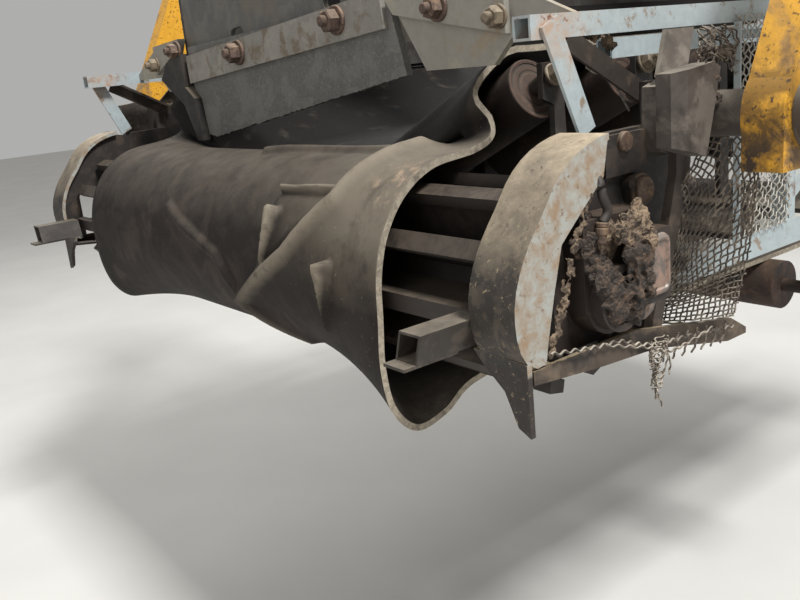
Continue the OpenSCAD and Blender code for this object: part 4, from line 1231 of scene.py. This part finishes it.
# Cast iron rubbed almost bare: pinkish grey, and smoother than the rust round it
worn_cast = layered("worn pinkish casting", "#8b7467", "#6b625c", 8, 0.5, dust="#b5aba0", dust_share=0.5,
                    rough=(0.35, 0.65), metal=0.3, third="#4a3a31", third_mm=16, third_share=0.3)
foot = bmesh.new()
turned(foot, (34, -622, -4), (0, -0.25, -1), [(0, 20), (6, 22), (14, 21), (22, 16.5), (28, 9), (30, 3)], 32)
piece("housing_foot", foot, "rust", worn_cast, smooth=True)


# %% [markdown]
# The bearing's end cap is a casting with a rounded rectangle for an outline. It grows
# outwards in steps, each drawn in a little, so its front has a raised lip round a hollow.

# %% Bearing end caps
CAP_STEPS = [(0, 0), (20, 0), (23, 1.5), (24.5, 4), (24.5, 6), (22.5, 7.5), (22.5, 10.5)]


def boss(shape, centre, half, corner, steps, side):
    """A rounded block that grows along Y through steps of depth and inset from its outline."""
    rings = []
    for depth, inset in steps:
        ring = []
        for quarter, (sx, sz) in enumerate([(1, 1), (-1, 1), (-1, -1), (1, -1)]):
            for n in range(7):
                angle = math.radians(90 * quarter + 15 * n)
                x = sx * (half[0] - corner) + (corner - inset) * math.cos(angle)
                z = sz * (half[1] - corner) + (corner - inset) * math.sin(angle)
                ring.append(shape.verts.new(place(centre[0] + x, centre[1] + side * depth, centre[2] + z)))
        rings.append(ring)
    skin(shape, rings)


cap = bmesh.new()
for side in (-1, 1):
    boss(cap, (43, 626 * side, 24), (18, 30), 11, CAP_STEPS, side)
piece("bearing_end_caps", cap, "rust", worn_cast)


# %% [markdown]
# ## The back skirt
# The rubber skirt is a strip cut from old belt. Its top edge is straight under the clamp
# bar, and its bottom edge has crumbled where it rubs on the belt. It is a slab of two
# grids, whose lower edge follows a line and a little noise.

# %% Back skirt
TOP_LINE = [(-250, 310), (322, 290)]
LOW_LINE = [(-276, 215), (-120, 192.4), (100, 160.5), (262, 137), (296, 143), (314, 190)]
SKIRT_X, SKIRT_T, SKIRT_COLUMNS, SKIRT_BANDS = 58, 10, 150, 10


def straight(line, share):
    """A point at a share of the way along straight stretches."""
    way = share * (len(line) - 1)
    j = min(int(way), len(line) - 2)
    return [a + (b - a) * (way - j) for a, b in zip(line[j], line[j + 1])]


def skirt_column(shape, share, side):
    """One column of points from the skirt's top edge to its crumbled lower edge."""
    (top_y, top_z), (low_y, low_z) = straight(TOP_LINE, share), straight(LOW_LINE, share)
    crumble = 2.2 * noise.noise(Vector((low_y / 7, side, 0))) + 2.5 * noise.noise(Vector((low_y / 23, 4, 0)))
    if share > 0.6:
        crumble += 3.5 * abs(noise.noise(Vector((low_y / 4, 9, 0))))
    column = []
    for n in range(SKIRT_BANDS + 1):
        down = n / SKIRT_BANDS
        y = top_y + (low_y - top_y) * down
        z = top_z + (low_z + crumble - top_z) * down
        sag = 2.5 * math.sin(math.pi * down) * noise.noise(Vector((y / 120, z / 90, 2)))
        column.append(shape.verts.new(place(SKIRT_X + side * SKIRT_T + sag, y, z)))
    return column


strip = bmesh.new()
front, back = ([skirt_column(strip, k / SKIRT_COLUMNS, side) for k in range(SKIRT_COLUMNS + 1)]
               for side in (0, 1))
for k in range(SKIRT_COLUMNS):
    for n in range(SKIRT_BANDS):
        strip.faces.new((front[k][n], front[k + 1][n], front[k + 1][n + 1], front[k][n + 1]))
        strip.faces.new((back[k][n], back[k][n + 1], back[k + 1][n + 1], back[k + 1][n]))
    for n in (0, SKIRT_BANDS):
        strip.faces.new((front[k][n], back[k][n], back[k + 1][n], front[k + 1][n]))
for k in (0, SKIRT_COLUMNS):
    for n in range(SKIRT_BANDS):
        strip.faces.new((front[k][n], back[k][n], back[k][n + 1], front[k][n + 1]))
# Stones have pitted this rubber all over, so it looks speckled grey and not black
speckled = layered("speckled skirt rubber", "#5c5b59", "#696764", 30, 0.45, dust="#8f8b83", dust_share=0.4,
                   rough=(0.65, 0.9), grain_mm=0.9, bump=0.9, third="#7a756b", third_mm=1.6, third_share=0.3)
skirt = piece("back_skirt", strip, "rubber", speckled)
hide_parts("skirt_back")


# %% [markdown]
# ## Softened edges
# Rolled steel has small radii and castings have large ones, so every real edge catches
# light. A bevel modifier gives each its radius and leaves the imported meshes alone. The
# guard's rim is one rolled sweep: it is a copy of the node's form with its flat facets
# joined, shaded smooth across the rim and sharp at the face.

# %% A radius on an edge, and the guards' rolled rims
def soften(thing, width_mm):
    """Gives a piece's sharp edges a small radius."""
    edge = thing.modifiers.new("edge", "BEVEL")
    edge.width = width_mm / 1000
    edge.segments = 2
    edge.limit_method = "ANGLE"
    edge.angle_limit = math.radians(40)
    return edge


def rolled(node_name, name, finish):
    """A piece with the node's own form, its rim shaded as one smooth sweep."""
    shape = bmesh.new()
    shape.from_mesh(nodes[node_name].data)
    bmesh.ops.remove_doubles(shape, verts=shape.verts[:], dist=1e-5)
    bmesh.ops.dissolve_limit(shape, angle_limit=math.radians(0.5), verts=shape.verts[:], edges=shape.edges[:])
    made = piece(name, shape, slots[node_name], finish, smooth=True)
    made.data.set_sharp_from_angle(angle=math.radians(32))
    soften(made, 1.6).harden_normals = True
    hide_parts(node_name)


for end in ("near", "far"):
    rolled("tail_guard_" + end, "rolled_guard_" + end, guard)

# %% Bevels on the CAD pieces
softened = 0
for node_name, node_object in nodes.items():
    if node_name.startswith(("belt", "mesh", "skirt_back", "tail_guard")):
        continue
    cast = node_name.startswith(("bearing", "trunnion_near", "trunnion_far", "yoke_arm"))
    soften(node_object, 3.0 if cast else 1.0)
    softened += 1
print("softened", softened, "CAD pieces")
